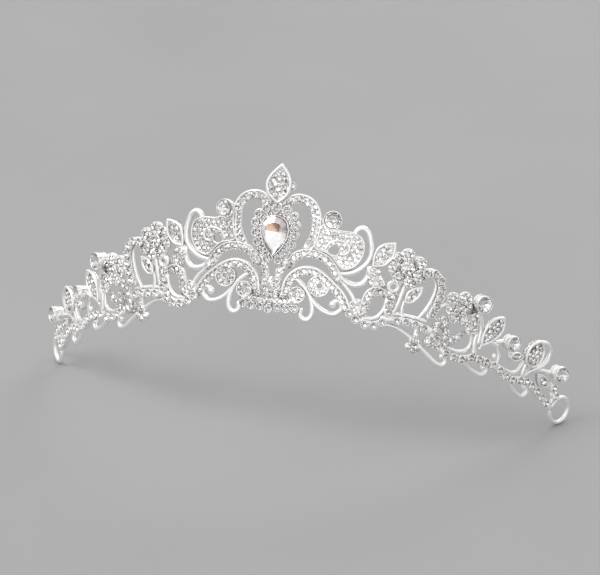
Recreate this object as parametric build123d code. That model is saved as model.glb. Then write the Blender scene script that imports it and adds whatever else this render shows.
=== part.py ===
from build123d import *
import os
from math import cos, degrees, hypot, pi, radians, sin

# Bridal tiara: openwork castings that follow one curved, flared surface, with rhinestones set on
# their front.  Every place on it is given as (along, up): the distance in millimetres along the
# lower edge from the middle, and the height up the flared surface from that edge.  All pieces are
# laid out for the wearer's left half, which is at +X, and mirrored for the other half.

# Driving dimensions, in millimetres and degrees
front_radius = 78.0  # curve of the lower edge, seen from above
bend_end = 70.0  # distance along the edge where the curve runs out into a straight end
flare = 20.0  # how far the surface leans outwards from the lower edge's plane
lean_back = 40.0  # the lower edge's plane tips back this far when the tiara is worn
plate = 1.2  # thickness of the castings
face = plate / 2  # from the middle of the castings to their front
low_rim = 0.35  # height of the leaves' rims above the castings' front
tall_rim = 0.9  # height of the crest's and the last leaf's rims above their floors
leaf_floor = 0.1  # the low leaves are sunk to this lift
rim_width = 0.55
wire = 1.3  # width of the plain scroll wires
thin_wire = 1.1
cup_wall = 0.22
cup_floor = 0.3
play = 0.03  # between a stone and the wall beside it
row_cup = 1.15  # radius of the cups set in rows and round the pear stone
row_height = 0.9
tall_height = 2.3  # tall round cups of the large single stones
pear_wall = 0.38
pear_rise = 1.1  # height of the pear stone's collar
pear_crown = 1.7  # the pear stone stands this far above its collar
pave_stone = 0.55  # radius of the smallest stones
pave_pitch = 1.2
row_gap = 0.9  # rows of small stones stand this share of their pitch apart
stone_margin = 0.68  # from an edge to the middle of the nearest small stone
ring_outer = 4.4
ring_inner = 3.1
ring_turn = 8.0  # end rings turn in further than the ends they are cast on
ring_start = 93.3
ring_height = -8.8
surface_low = -22.0  # the surface is made between these two heights
surface_high = 44.0
end_reach = 40.0  # length of the straight ends' surface
through = 5.0  # half the depth of a prism that passes through the surface
sliver = 0.4  # cut-off crumbs under this volume are dropped


# ---- The surface that everything lies on ----


def plan(along):
    """Place on the lower edge, seen from above, and the edge's heading there in radians."""
    bend = max(-bend_end, min(along, bend_end)) / front_radius
    run = max(along - bend_end, 0)
    x = front_radius * sin(bend) + run * cos(bend)
    y = front_radius * (1 - cos(bend)) + run * sin(bend)
    return x, y, bend


def spot(along, up, lift=0.0):
    """Point on the surface, lifted along its outward normal."""
    x, y, bend = plan(along)
    out = up * sin(radians(flare)) + lift * cos(radians(flare))
    height = up * cos(radians(flare)) - lift * sin(radians(flare))
    return Vector(x + out * sin(bend), y - out * cos(bend), height)


def station(along, up, lift=0.0):
    """Plane that touches the surface at a spot: its X runs along the edge and its Z outwards."""
    bend = plan(along)[2]
    level = cos(radians(flare))
    normal = (level * sin(bend), -level * cos(bend), -sin(radians(flare)))
    return Plane(spot(along, up, lift), x_dir=(cos(bend), sin(bend), 0), z_dir=normal)


def skin(low, high):
    """The whole surface as a solid layer between two lifts: a cone with a flat end each side."""

    def corner(up, lift):
        place = spot(0, up, lift)
        return front_radius - place.Y, place.Z

    inner_side = [corner(surface_low, low), corner(surface_high, low)]
    outer_side = [corner(surface_high, high), corner(surface_low, high)]
    outline = Polyline(*inner_side, *outer_side, close=True)
    sweep = degrees(bend_end / front_radius)
    cone = revolve(Plane.XZ * make_face(outline), Axis.Z, revolution_arc=2 * sweep)
    cone = Pos(0, front_radius, 0) * Rot(0, 0, -90 - sweep) * cone
    tall = surface_high - surface_low
    end = station(bend_end, (surface_low + surface_high) / 2) * Pos(end_reach / 2, 0, (low + high) / 2)
    end = end * Box(end_reach, tall, high - low)
    return cone + end + mirror(end, Plane.YZ)


crest_floor = face + plate / 2
casting_skin = skin(-face, face)
low_skins = skin(-face, face + low_rim), skin(leaf_floor, face + 2 * low_rim)
tall_skins = skin(-face, face + tall_rim), skin(face, face + 2 * tall_rim)
crest_skins = skin(face, crest_floor + tall_rim), skin(crest_floor, crest_floor + 2 * tall_rim)


# ---- Outlines drawn on the surface ----


def lay(plane, points):
    """Spots given as (along, up), as seen in a touching plane."""
    seen = [plane.to_local_coords(spot(*point)) for point in points]
    return [(place.X, place.Y) for place in seen]


def stroke(plane, width, *points):
    """Strip of one width with round ends, along a smooth curve through the points."""
    path = lay(plane, points)
    line = Spline(*path) if len(path) > 2 else Line(*path)
    ends = Pos(*path[0]) * Circle(width / 2) + Pos(*path[-1]) * Circle(width / 2)
    return trace(line, width) + ends


def disc(plane, radius, *points):
    """Round pads of one radius."""
    return Sketch() + [Pos(*place) * Circle(radius) for place in lay(plane, points)]


def bored(plane, holes):
    """Discs for holes given as {place: radius}."""
    return Sketch() + [disc(plane, radius, place) for place, radius in holes.items()]


def blob(plane, *points):
    """Area inside one smooth closed curve."""
    return make_face(Spline(*lay(plane, points), periodic=True))


def leaf(plane, foot, left, tip, right):
    """Pointed leaf between its foot and its tip, bounded by two smooth edges."""
    edges = Spline(*lay(plane, [foot, *left, tip])) + Spline(*lay(plane, [tip, *right, foot]))
    return make_face(edges)


# ---- Castings ----

made = []  # prisms of the castings made so far, which later castings are cut back from
nodes = {}


def boxes_meet(one, other):
    """Whether two shapes' bounding boxes overlap."""
    low_one, high_one = tuple(one.bounding_box().min), tuple(one.bounding_box().max)
    low_other, high_other = tuple(other.bounding_box().min), tuple(other.bounding_box().max)
    return all(low_one[i] < high_other[i] and low_other[i] < high_one[i] for i in range(3))


def largest(shape):
    """The shape without crumbs."""
    kept = [solid for solid in shape.solids() if solid.volume > sliver]
    return Compound(kept) if len(kept) > 1 else kept[0]


def cut_back(body):
    """Shape cut back from the castings that it meets."""
    cut = body
    for other in made:
        if boxes_meet(body, other):
            cut = cut - other
    return cut


def prism(plane, sketch):
    """Outline pushed through the surface, cut back from the castings that it meets."""
    body = plane * extrude(sketch, through, both=True)
    cut = cut_back(body)
    made.append(body)
    return cut


def resized(sketch, margin):
    """Outline grown all round by about a margin, or shrunk where it is negative."""
    box = sketch.bounding_box()
    share_x = 2 * margin / box.size.X
    share_y = 2 * margin / box.size.Y
    grown = scale(sketch, (1 + share_x, 1 + share_y, 1))
    return Pos(-share_x * box.center().X, -share_y * box.center().Y) * grown


def both_sides(name, shape):
    """Store a piece and its mirror image."""
    nodes[name + "_left"] = shape
    halves = [mirror(solid, Plane.YZ) for solid in shape.solids()]
    nodes[name + "_right"] = Compound(halves) if len(halves) > 1 else halves[0]


def casting(plane, sketch):
    """Flat openwork piece, one plate thick, bent to the surface."""
    return largest(prism(plane, sketch) & casting_skin)


def tray(plane, sketch, skins=low_skins):
    """Casting with a raised rim round a recess for stones."""
    body_skin, recess_skin = skins
    recess = plane * extrude(resized(sketch, -rim_width), through, both=True)
    return largest((prism(plane, sketch) & body_skin) - (recess & recess_skin))


# ---- Where everything is, on the half at +X, as (along, up) ----

halo = [(0, 26.9), (2.5, 26.7), (4.3, 25.1), (5.0, 22.7)]
halo += [(4.9, 20.1), (4.2, 17.5), (3.1, 15.1), (1.5, 13.2)]
base_row = [(0, -0.3), (2.4, 0.2), (4.8, 0.3), (7.1, 0.6)]
festoon = [(21.6, 1.7), (23.5, 0.3), (26.1, -0.6), (28.5, -0.5), (30.6, 0.9)]
stem_row = [(31.6, 6.2), (31.8, 3.8)]
inner_row = [(34.3, 2.1), (36.9, 2.3), (39.5, 2.2), (42.1, 1.8)]
arch_row = [(39.0, 16.4), (41.3, 16.8), (43.2, 15.4), (44.1, 13.1), (44.3, 10.7), (44.0, 8.3), (43.4, 6.0)]
middle_row = [(50.4, -3.3), (53.0, -3.9), (55.7, -3.9), (58.4, -2.7), (61.0, -2.5), (63.7, -2.6), (66.4, -2.9)]
end_row = [(69.3, -3.6), (72.2, -4.7), (75.0, -5.0), (77.6, -4.4), (80.1, -4.1), (82.7, -4.7)]
end_row += [(85.3, -5.7), (87.8, -6.9), (90.4, -8.1), (90.9, -3.3), (92.9, -5.3)]
tall_left = {(13.8, 25.8): 2.6}  # the topmost cups don't quite mirror each other
tall_right = {(-12.4, 26.0): 2.6}
tall_both = {(56.2, 12.4): 2.65, (69.4, 4.7): 2.4, (90.6, 1.1): 2.55}

heart_line = [(2.6, 28.6), (4.2, 30.0), (6.4, 30.1), (8.6, 28.7)]
heart_line += [(9.8, 26.0), (10.0, 22.6), (9.5, 19.4), (8.3, 16.8)]
upper_line = [(4.4, 12.2), (5.8, 14.6), (8.0, 15.7), (10.2, 15.9)]
upper_line += [(12.8, 15.3), (14.9, 13.7), (16.4, 11.7), (17.8, 9.8)]
scroll_line = [(4.0, 5.0), (4.6, 7.6), (6.2, 9.9), (8.4, 11.1), (10.6, 11.2)]
scroll_line += [(13.0, 10.2), (15.6, 8.4), (18.0, 6.4), (19.6, 4.4), (20.6, 2.6)]
stem_line = [(3.5, 13.6), (2.3, 11.2), (1.7, 8.6), (1.6, 5.6), (1.6, 2.4)]
base_line = [(0, 1.5), (4.0, 1.7), (7.4, 2.0)]
horseshoe_line = [(25.2, 2.4), (25.3, 5.2), (26.0, 7.8), (27.6, 8.9), (29.5, 8.4)]
patch_line = [(25.9, 13.6), (26.5, 12.0), (27.6, 10.4)]
arch_line = [(38.6, 16.4), (40.4, 16.9), (42.2, 16.4), (43.6, 14.8)]
arch_line += [(44.2, 12.4), (44.2, 10.0), (43.9, 7.6), (43.2, 5.2)]
middle_line = [(48.6, -2.6), (52.6, -3.8), (56.4, -3.6), (60.4, -2.5), (66.6, -2.9)]
end_line = [(66.6, -2.9), (72.2, -4.7), (75.6, -4.9), (80.0, -4.1), (85.0, -5.6), (93.2, -9.0)]
petals = [(33.4, 20.0), (36.8, 18.5), (37.6, 15.1), (35.6, 13.2), (32.6, 13.5), (30.9, 15.9), (31.2, 18.5)]
flower_middle = (34.2, 16.5)
lobes = [(48.1, 11.4), (51.4, 12.4), (48.5, 8.6), (51.3, 9.4)]
lobes += [(50.0, 6.6), (53.5, 6.6), (55.9, 7.6), (56.0, 4.8)]
scroll_disc = (12.6, 7.5)
small_disc = (7.2, 4.4)
foot_disc = (23.4, 3.6)

fan_edge = [(10.6, 25.8), (12.6, 24.8), (15.4, 23.4), (18.6, 23.4), (21.4, 22.3), (22.5, 19.6)]
fan_edge += [(22.1, 16.2), (20.4, 13.8), (17.9, 12.9), (15.8, 14.7), (13.4, 16.6), (10.4, 17.4), (10.0, 21.5)]
fan_gap = [(13.7, 17.2), (14.5, 18.7), (16.1, 19.4), (16.3, 17.9), (15.9, 16.6)]
ribbon_edge = [(43.6, -2.4), (44.4, 1.0), (45.0, 4.4), (46.6, 6.4), (48.6, 5.4), (49.3, 3.2), (50.8, 1.6)]
ribbon_edge += [(52.8, 2.6), (54.4, 3.6), (53.6, 1.2), (51.8, -0.8), (49.6, -2.2), (47.6, -2.7), (45.6, -3.4)]
halo_inside = [(0, 27.8), (3.4, 26.4), (5.0, 23.4), (4.9, 19.8), (3.8, 16.0), (2.0, 13.2), (0, 12.6)]

# Round holes through the castings, with their radii
scroll_holes = {(12.8, 7.6): 0.7, (6.2, 4.0): 0.75}
fan_holes = {(17.7, 18.8): 0.45, (19.2, 16.9): 0.5}
ribbon_hole = {(47.4, 1.8): 0.9}

# Leaves: foot, left edge, tip, right edge
crest = [(0, 28.2), [(-2.1, 30.3), (-3.0, 33.0), (-2.0, 36.5)]]
crest += [(0, 39.2), [(2.0, 36.5), (3.0, 33.0), (2.1, 30.3)]]
leaf_one = [(25.0, 15.0), [(24.9, 18.2), (25.7, 20.7), (27.5, 22.1)]]
leaf_one += [(29.8, 22.7), [(30.2, 20.2), (29.5, 17.4), (27.4, 15.4)]]
stem_leaf = [(35.3, 7.2), [(35.2, 9.5), (36.5, 11.6)], (39.2, 12.6), [(39.3, 10.7), (38.4, 8.6), (36.9, 7.3)]]
leaf_two = [(60.4, 0.8), [(59.8, 4.0), (60.2, 7.2), (61.9, 9.7)]]
leaf_two += [(64.7, 10.9), [(65.9, 8.4), (65.4, 5.5), (63.4, 2.8)]]
leaf_three = [(79.9, -0.2), [(77.4, 0.8), (76.4, 3.6), (77.3, 6.4)]]
leaf_three += [(79.8, 8.2), [(82.2, 6.4), (82.9, 3.6), (82.0, 1.0)]]
twig_leaf = [(71.3, 0.5), [(72.1, 2.1), (74.2, 2.9)], (76.4, 2.2), [(75.3, 0.7), (73.2, 0.0)]]
end_leaf = [(83.7, -1.0), [(86.2, -0.9), (88.3, -1.9)], (89.2, -3.8), [(87.0, -4.3), (84.9, -3.2)]]


# ---- Middle ----

middle = station(0, 14)
half = disc(middle, 1.45, *halo) + stroke(middle, 2.3, *stem_line) + stroke(middle, 1.8, *base_line)
half += disc(middle, 1.9, (3.5, 4.0)) + stroke(middle, 3.2, (0, 7.0), (0, 1.8))
half += disc(middle, 1.1, *base_row)
inside = halo_inside + [(-along, up) for along, up in reversed(halo_inside[1:-1])]
middle_sketch = half + mirror(half, Plane.YZ) + blob(middle, *inside) + stroke(middle, 3.0, (0, 27), (0, 33))
nodes["middle_frame"] = casting(middle, middle_sketch)


# ---- Inner scrolls, between 3 and 31 mm from the middle ----

inner = station(16, 12)
both_sides("heart_arch", casting(inner, stroke(inner, 2.6, *heart_line)))

scroll = stroke(inner, 2.3, *upper_line) + stroke(inner, 2.5, *scroll_line)
scroll += disc(inner, 2.9, scroll_disc) + disc(inner, 2.2, small_disc)
scroll -= bored(inner, scroll_holes)
both_sides("scroll_frame", casting(inner, scroll))

fan = blob(inner, *fan_edge) - blob(inner, *fan_gap) - bored(inner, fan_holes)
both_sides("fan_frame", casting(inner, fan))

long_curl = [(6.6, 8.5), (9.2, 6.3), (11.2, 3.7), (13.2, 1.8), (15.6, 0.7), (17.8, 0.7), (19.2, 1.9)]
low_curl = [(9.2, 6.4), (10.8, 3.8), (11.6, 1.6), (11.7, -0.4)]
low_curl += [(10.8, -1.9), (9.5, -2.0), (8.6, -1.0), (8.7, 0.3)]
curl = stroke(inner, wire, *long_curl) + stroke(inner, wire, *low_curl)
curl += stroke(inner, wire, (19.2, 1.9), (19.2, 3.5), (18.0, 4.3), (16.9, 3.3)) + disc(inner, 1.05, (16.9, 3.2))
both_sides("curl_wires", casting(inner, curl))

loop = stroke(inner, wire, (19.5, 22.4), (20.1, 24.1), (21.2, 24.8), (22.4, 24.2), (23.5, 22.2), (24.2, 19.6))
loop += stroke(inner, wire, (24.2, 19.6), (24.2, 17.0), (23.2, 14.8), (21.3, 13.0), (19.4, 12.1), (17.4, 11.7))
loop += stroke(inner, wire, (24.5, 14.4), (24.5, 12.0), (23.3, 9.9), (21.2, 9.3), (19.4, 9.8), (17.4, 11.1))
loop += stroke(inner, thin_wire, (17.2, 10.3), (19.6, 8.4), (21.6, 6.2), (22.8, 4.2))
both_sides("loop_wires", casting(inner, loop))


# ---- Horseshoe, flower and outer arch, between 20 and 48 mm ----

outer = station(34, 8)
both_sides("leaf_one_tray", tray(outer, leaf(outer, *leaf_one)))

horseshoe = stroke(outer, 2.4, *horseshoe_line) + stroke(outer, 4.2, *patch_line) + disc(outer, 2.3, foot_disc)
shoe_side = [(30.4, 8.4), (30.6, 5.4), (30.0, 3.2), (28.9, 1.8), (27.2, 1.1), (25.4, 1.0)]
horseshoe += stroke(outer, thin_wire, *shoe_side)
horseshoe += stroke(outer, 1.5, (21.2, 2.2), (23.2, 0.8), (26.1, 0.0), (28.5, 0.0), (30.8, 1.2))
horseshoe += disc(outer, 1.1, *festoon)
both_sides("horseshoe_frame", casting(outer, horseshoe))

flower = disc(outer, 1.9, *petals) + disc(outer, 3.5, flower_middle)
both_sides("flower_frame", casting(outer, flower))

both_sides("stem_leaf_tray", tray(outer, leaf(outer, *stem_leaf)))

stems = disc(outer, 1.75, (31.5, 10.9)) + disc(outer, 1.6, (31.7, 8.4)) + disc(outer, 1.3, *stem_row)
stems -= disc(outer, 0.75, (31.5, 10.9))
stems += stroke(outer, 1.4, (32.9, 3.4), (33.8, 6.6), (34.2, 9.6), (34.5, 12.4))
stems += stroke(outer, thin_wire, (35.7, 3.6), (35.2, 6.2), (35.7, 8.2))
both_sides("stem_frame", casting(outer, stems))

arch = stroke(outer, 2.1, *arch_line)
arch += stroke(outer, 1.0, (40.3, 3.8), (41.7, 6.9), (42.6, 10.2), (42.7, 12.9), (42.0, 14.8), (40.4, 15.7))
both_sides("arch_frame", casting(outer, arch))

inner_band = stroke(outer, 2.2, (31.0, 1.8), (33.2, 2.0), (37.0, 2.3), (40.2, 2.1), (43.0, 1.6), (44.6, 1.0))
inner_band += stroke(outer, 1.0, (32.4, 3.5), (35.0, 3.8), (40.2, 3.8), (42.6, 3.6))
inner_band += stroke(outer, thin_wire, (31.0, 0.2), (34.0, 0.3), (37.0, -0.6), (39.6, -1.8), (42.6, -3.5))
inner_band += stroke(outer, 1.5, (40.7, 1.0), (40.9, -1.4), (40.8, -4.0)) + disc(outer, 1.4, (40.8, -2.4))
inner_band += disc(outer, 1.0, (39.6, -4.1), (40.9, -4.9), (42.1, -4.1))
both_sides("inner_band", casting(outer, inner_band))


# ---- Second cluster, between 43 and 68 mm ----

cluster = station(55, 4)
bunch = disc(cluster, 1.85, *lobes) + disc(cluster, 2.4, (56.2, 12.4)) + disc(cluster, 2.6, (53.3, 9.4))
bunch += blob(cluster, *ribbon_edge) - bored(cluster, ribbon_hole)
bunch += stroke(cluster, thin_wire, (45.0, 8.0), (46.2, 8.9), (47.6, 10.0))
low_loop = [(50.9, -1.8), (53.6, -2.2), (55.8, -1.7), (57.2, -0.4), (57.3, 1.4), (56.7, 3.4)]
bunch += stroke(cluster, thin_wire, *low_loop)
bunch += stroke(cluster, 1.6, (56.7, 9.8), (58.2, 7.6), (59.2, 5.0), (59.6, 1.8))
bunch += stroke(cluster, 1.8, (58.2, 3.4), (58.6, 1.2), (59.4, -1.0))
both_sides("cluster_frame", casting(cluster, bunch))

both_sides("leaf_two_tray", tray(cluster, leaf(cluster, *leaf_two)))

both_sides("middle_band", casting(cluster, stroke(cluster, 1.7, *middle_line)))

vine = stroke(cluster, wire, (60.6, 0.4), (62.0, 2.0), (64.2, 2.8), (66.2, 2.4), (67.6, 0.8), (68.2, -2.6))
vine += stroke(cluster, wire, (65.2, 3.2), (67.4, 4.2), (69.4, 4.7)) + disc(cluster, 2.1, (69.4, 4.7))
both_sides("vine_wires", casting(cluster, vine))


# ---- End, between 66 and 97 mm ----

tail = station(81, 0)
end_band = stroke(tail, 1.7, *end_line) + stroke(tail, wire, (90.6, -2.6), (92.4, -4.6), (93.2, -7.4))
end_band += disc(tail, 1.15, (90.9, -3.3), (92.9, -5.3))
both_sides("end_band", casting(tail, end_band))

both_sides("leaf_three_tray", tray(tail, leaf(tail, *leaf_three), tall_skins))

small_leaves = [tray(tail, leaf(tail, *shape)) for shape in (twig_leaf, end_leaf)]
both_sides("small_leaf_trays", Compound(small_leaves))

leaf_loop = [(80.6, 8.4), (83.5, 7.9), (85.4, 6.0), (85.5, 3.4), (84.1, 1.0), (81.4, -0.8), (79.6, -2.6)]
band_twig = [(68.4, -2.6), (71.0, -2.9), (74.2, -3.2), (76.2, -2.4), (77.0, -0.6), (77.5, 1.2)]
twigs = stroke(tail, wire, *leaf_loop) + stroke(tail, thin_wire, *band_twig)
twigs += stroke(tail, wire, (81.4, -0.8), (84.4, 0.1), (88.0, 0.4), (90.6, 1.1)) + disc(tail, 2.2, (90.6, 1.1))
twigs += stroke(tail, 1.6, (78.4, 0.2), (78.5, -1.8), (79.4, -3.4))
twigs += stroke(tail, thin_wire, (70.4, 3.2), (71.6, 1.0))
twigs += stroke(tail, 1.2, (88.6, -2.8), (90.8, -3.0)) + stroke(tail, 1.2, (92.9, -5.1), (94.6, -5.4))
both_sides("twig_wires", casting(tail, twigs))

# Hooks of plain wire below the band
hooks = [
    [(42.8, -3.6), (45.0, -4.8), (47.5, -6.2), (49.8, -7.0), (51.3, -6.7), (51.6, -5.5), (50.6, -4.2)],
    [(57.2, -4.2), (59.6, -5.7), (62.4, -6.4), (64.8, -6.3), (65.6, -5.2), (64.8, -3.4)],
    [(74.6, -5.6), (77.0, -7.3), (79.6, -8.4), (81.6, -8.5), (82.6, -7.2), (81.6, -5.0)],
]
hook_solids = []
for line in hooks:
    base = station(*line[3])
    hook_solids += casting(base, stroke(base, thin_wire, *line)).solids()
both_sides("hook_wires", Compound(hook_solids))

# End rings for a ribbon or hairpins, turned in from the straight ends
ring_side = station(ring_start, ring_height) * Rot(0, ring_turn, 0)
ring = ring_side * Pos(ring_outer, 0, 0) * (Cylinder(ring_outer, plate) - Cylinder(ring_inner, 2 * plate))
both_sides("end_ring", largest(cut_back(ring)))


# ---- Cups and collars, standing on the castings' front ----


def cup(radius, height):
    """Round cup with a floor, standing at the origin."""
    wall = extrude(Circle(radius) - Circle(radius - cup_wall), height)
    return wall + extrude(Circle(radius), cup_floor)


def cup_stone(radius, height):
    """Round stone that fills a cup and stands proud of it with a bevelled crown."""
    size = radius - cup_wall - play
    rim = height - cup_floor
    crown_rise = 0.4 * size
    table = 0.6 * size
    corners = [(0, 0), (size, 0), (size, rim), (table, rim + crown_rise), (0, rim + crown_rise)]
    return Pos(0, 0, cup_floor) * revolve(Plane.XZ * make_face(Polyline(*corners, close=True)), Axis.Z)


def stand(shape, places, lift=face):
    """Copies of a shape standing on the surface at each place."""
    return [station(*place, lift) * shape for place in places]


def stand_tall(make, tall_places):
    """Shapes made for the tall cups' own radii, standing at their places."""
    return [station(*place, face) * make(radius, tall_height) for place, radius in tall_places.items()]


def mirrored(places):
    """Places on both halves, without a second copy of one on the middle line."""
    return places + [(-along, up) for along, up in places if along > 0]


def reflected(shapes):
    """Shapes mirrored to the other half."""
    return [mirror(solid, Plane.YZ) for shape in shapes for solid in shape.solids()]


middle_places = mirrored(halo + base_row)
row_places = festoon + stem_row + inner_row + arch_row + middle_row + end_row
row_stone = cup_stone(row_cup, row_height)
nodes["middle_cups"] = Compound(stand(cup(row_cup, row_height), middle_places))
nodes["middle_stones"] = Compound(stand(row_stone, middle_places))
both_sides("row_cups", Compound(stand(cup(row_cup, row_height), row_places)))
tall_cups = stand_tall(cup, tall_both)
nodes["tall_cups_left"] = Compound(stand_tall(cup, tall_left) + tall_cups)
nodes["tall_cups_right"] = Compound(stand_tall(cup, tall_right) + reflected(tall_cups))
stones = stand(row_stone, row_places) + stand_tall(cup_stone, tall_both)
nodes["set_stones_left"] = Compound(stand_tall(cup_stone, tall_left) + stones)
nodes["set_stones_right"] = Compound(stand_tall(cup_stone, tall_right) + reflected(stones))

# Small empty cup beside the crest leaf, on one side only
crest_cup_place = (2.75, 33.2)
crest_cup_radius = 1.25
nodes["crest_cup"] = Compound(stand(cup(crest_cup_radius, plate - 0.1), [crest_cup_place], -face))

# Crest leaf, standing on the middle frame's front
crest_plane = station(0, 33.5)
crest_sketch = leaf(crest_plane, *crest)
crest_body = (crest_plane * extrude(crest_sketch, through, both=True)) & crest_skins[0]
crest_recess = (crest_plane * extrude(resized(crest_sketch, -rim_width), through, both=True)) & crest_skins[1]
nodes["crest_tray"] = crest_body - crest_recess

# Pear stone in its collar
pear_plane = station(0, 20, face)
pear_side = lay(pear_plane, [(0, 14.2), (1.7, 16.3), (2.95, 19.0), (3.25, 21.5), (2.3, 24.0), (0, 24.9)])
pear_edge = Spline(*pear_side, tangents=[(0.75, 1.0), (-1.0, 0.0)])
pear_outline = make_face(pear_edge + mirror(pear_edge, Plane.YZ))
pear_table = scale(pear_outline, 0.55)
collar = extrude(resized(pear_outline, pear_wall), pear_rise)
collar -= Pos(0, 0, cup_floor) * extrude(resized(pear_outline, play), through)
nodes["pear_collar"] = pear_plane * collar
crown = loft([Pos(0, 0, pear_rise) * pear_outline, Pos(0, 0, pear_rise + pear_crown) * pear_table])
pear = Pos(0, 0, cup_floor) * extrude(pear_outline, pear_rise - cup_floor) + crown
nodes["pear_stone"] = pear_plane * pear


# ---- Small stones over the castings' front ----


def sampled(points, closed=False):
    """Closely spaced places along the smooth curve through the given ones."""
    line = Spline(*points, periodic=True) if closed else Spline(*points)
    count = max(2, round(line.length / (pave_pitch / 10)))
    spots = [line.position_at(i / count) for i in range(count + 1)]
    return [(place.X, place.Y) for place in spots]


def rows_along(points, width):
    """Places for rows of small stones along a strip: as many staggered rows as its width holds."""
    line = Spline(*points)
    rows = max(1, int((width - 0.1) / pave_pitch + 0.3))
    places = []
    for row in range(rows):
        side = (row - (rows - 1) / 2) * pave_pitch * row_gap
        run = stone_margin + pave_pitch / 2 * (row % 2)
        while run < line.length - stone_margin:
            here = line.position_at(run / line.length)
            heading = line.tangent_at(run / line.length)
            places.append((here.X - side * heading.Y, here.Y + side * heading.X))
            run += pave_pitch
    return places


def encloses(edge, along, up):
    """Whether a place lies inside a closed chain of places."""
    crossings = 0
    for (a, b), (c, d) in zip(edge, edge[1:] + edge[:1]):
        if (b > up) != (d > up) and along < a + (up - b) * (c - a) / (d - b):
            crossings += 1
    return crossings % 2 == 1


def filled(edge, margin=stone_margin):
    """Places for small stones in staggered rows inside a closed chain of places."""
    low_along = min(along for along, up in edge)
    high_along = max(along for along, up in edge)
    low_up = min(up for along, up in edge)
    high_up = max(up for along, up in edge)
    places = []
    row_pitch = pave_pitch * row_gap
    for row in range(int((high_up - low_up) / row_pitch)):
        up = low_up + margin + row * row_pitch
        for step in range(int((high_along - low_along) / pave_pitch) + 1):
            along = low_along + (step + 0.5 * (row % 2)) * pave_pitch
            nearest = min(hypot(along - a, up - b) for a, b in edge)
            if nearest >= margin and encloses(edge, along, up):
                places.append((along, up))
    return places


def leaf_edge(foot, left, tip, right):
    """Chain of places round a leaf."""
    return sampled([foot, *left, tip]) + sampled([tip, *right, foot])[1:]


def ring_of(centre, radius, count):
    """Places round a centre."""
    angles = [2 * pi * i / count for i in range(count)]
    return [(centre[0] + radius * cos(angle), centre[1] + radius * sin(angle)) for angle in angles]


def spaced(places, taken):
    """The places that keep clear of round things and of each other."""
    kept = []
    for along, up in places:
        free = all(hypot(along - a, up - u) > radius + pave_stone + play for (a, u), radius in taken.items())
        if free and all(hypot(along - a, up - u) > 2 * pave_stone + play for a, u in kept):
            kept.append((along, up))
    return kept


taken = dict.fromkeys(middle_places + row_places, row_cup)
taken |= tall_left | tall_both | {(-along, up): radius for (along, up), radius in tall_right.items()}
taken |= scroll_holes | fan_holes | ribbon_hole | {(15.2, 18.0): 0.9}

profile = Polyline((0, 0), (pave_stone, 0), (pave_stone, 0.15), (0.3, 0.42), (0, 0.42), close=True)
small_stone = revolve(Plane.XZ * make_face(profile), Axis.Z)

side_places = rows_along(heart_line, 2.6) + rows_along(scroll_line, 2.5) + rows_along(upper_line, 2.3)
side_places += filled(sampled(fan_edge, closed=True))
side_places += rows_along(horseshoe_line, 2.4) + rows_along(patch_line, 4.2)
side_places += [foot_disc] + ring_of(foot_disc, 1.4, 7)
side_places += filled(sampled(ribbon_edge, closed=True))
for centre in petals + lobes:
    side_places += [centre] + ring_of(centre, 1.2, 6)
side_places += ring_of(flower_middle, 1.2, 6) + [flower_middle]
side_places += ring_of(scroll_disc, 1.95, 10) + ring_of(small_disc, 1.5, 7)
side_places = spaced(side_places, taken)
leaf_margin = rim_width + pave_stone + play
low_places = filled(leaf_edge(*leaf_one), leaf_margin) + filled(leaf_edge(*leaf_two), leaf_margin)
low_places += [(36.4, 8.9), (37.5, 9.4), (37.2, 10.6)]  # in the stem's leaf
low_places += [(73.6, 1.45), (74.75, 1.65)]  # in the twig's leaf
low_places += [(85.5, -2.1), (86.6, -2.5), (87.65, -2.95)]  # in the end's leaf
deep_places = filled(leaf_edge(*leaf_three), leaf_margin)
side_shapes = stand(small_stone, side_places + deep_places) + stand(small_stone, low_places, leaf_floor)
both_sides("small_stones", Compound(side_shapes))

middle_small = rows_along(stem_line, 2.3) + rows_along([(0, 2.1), (0, 7.1)], 1.2)
middle_small += [(3.2, 4.8), (3.4, 3.2), (3.3, 28.0)]
middle_small = spaced(mirrored(middle_small), taken)
crest_small = filled(leaf_edge(*crest), leaf_margin)
middle_shapes = stand(small_stone, middle_small) + stand(small_stone, crest_small, crest_floor)
nodes["middle_small_stones"] = Compound(middle_shapes)


# ---- Out to the worn pose, with the lower edge's plane tipped back ----

os.makedirs("parts", exist_ok=True)
for name, shape in nodes.items():
    export_step(Rot(-lean_back, 0, 0) * shape, "parts/" + name + ".step")
    print(name, len(shape.solids()), round(shape.volume, 1), shape.is_valid)
print(len(nodes), "nodes")
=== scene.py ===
import random
from math import atan2, cos, degrees, hypot, pi, radians, sin

import bpy
import numpy as np
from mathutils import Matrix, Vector
from mathutils.geometry import delaunay_2d_cdt


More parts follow.
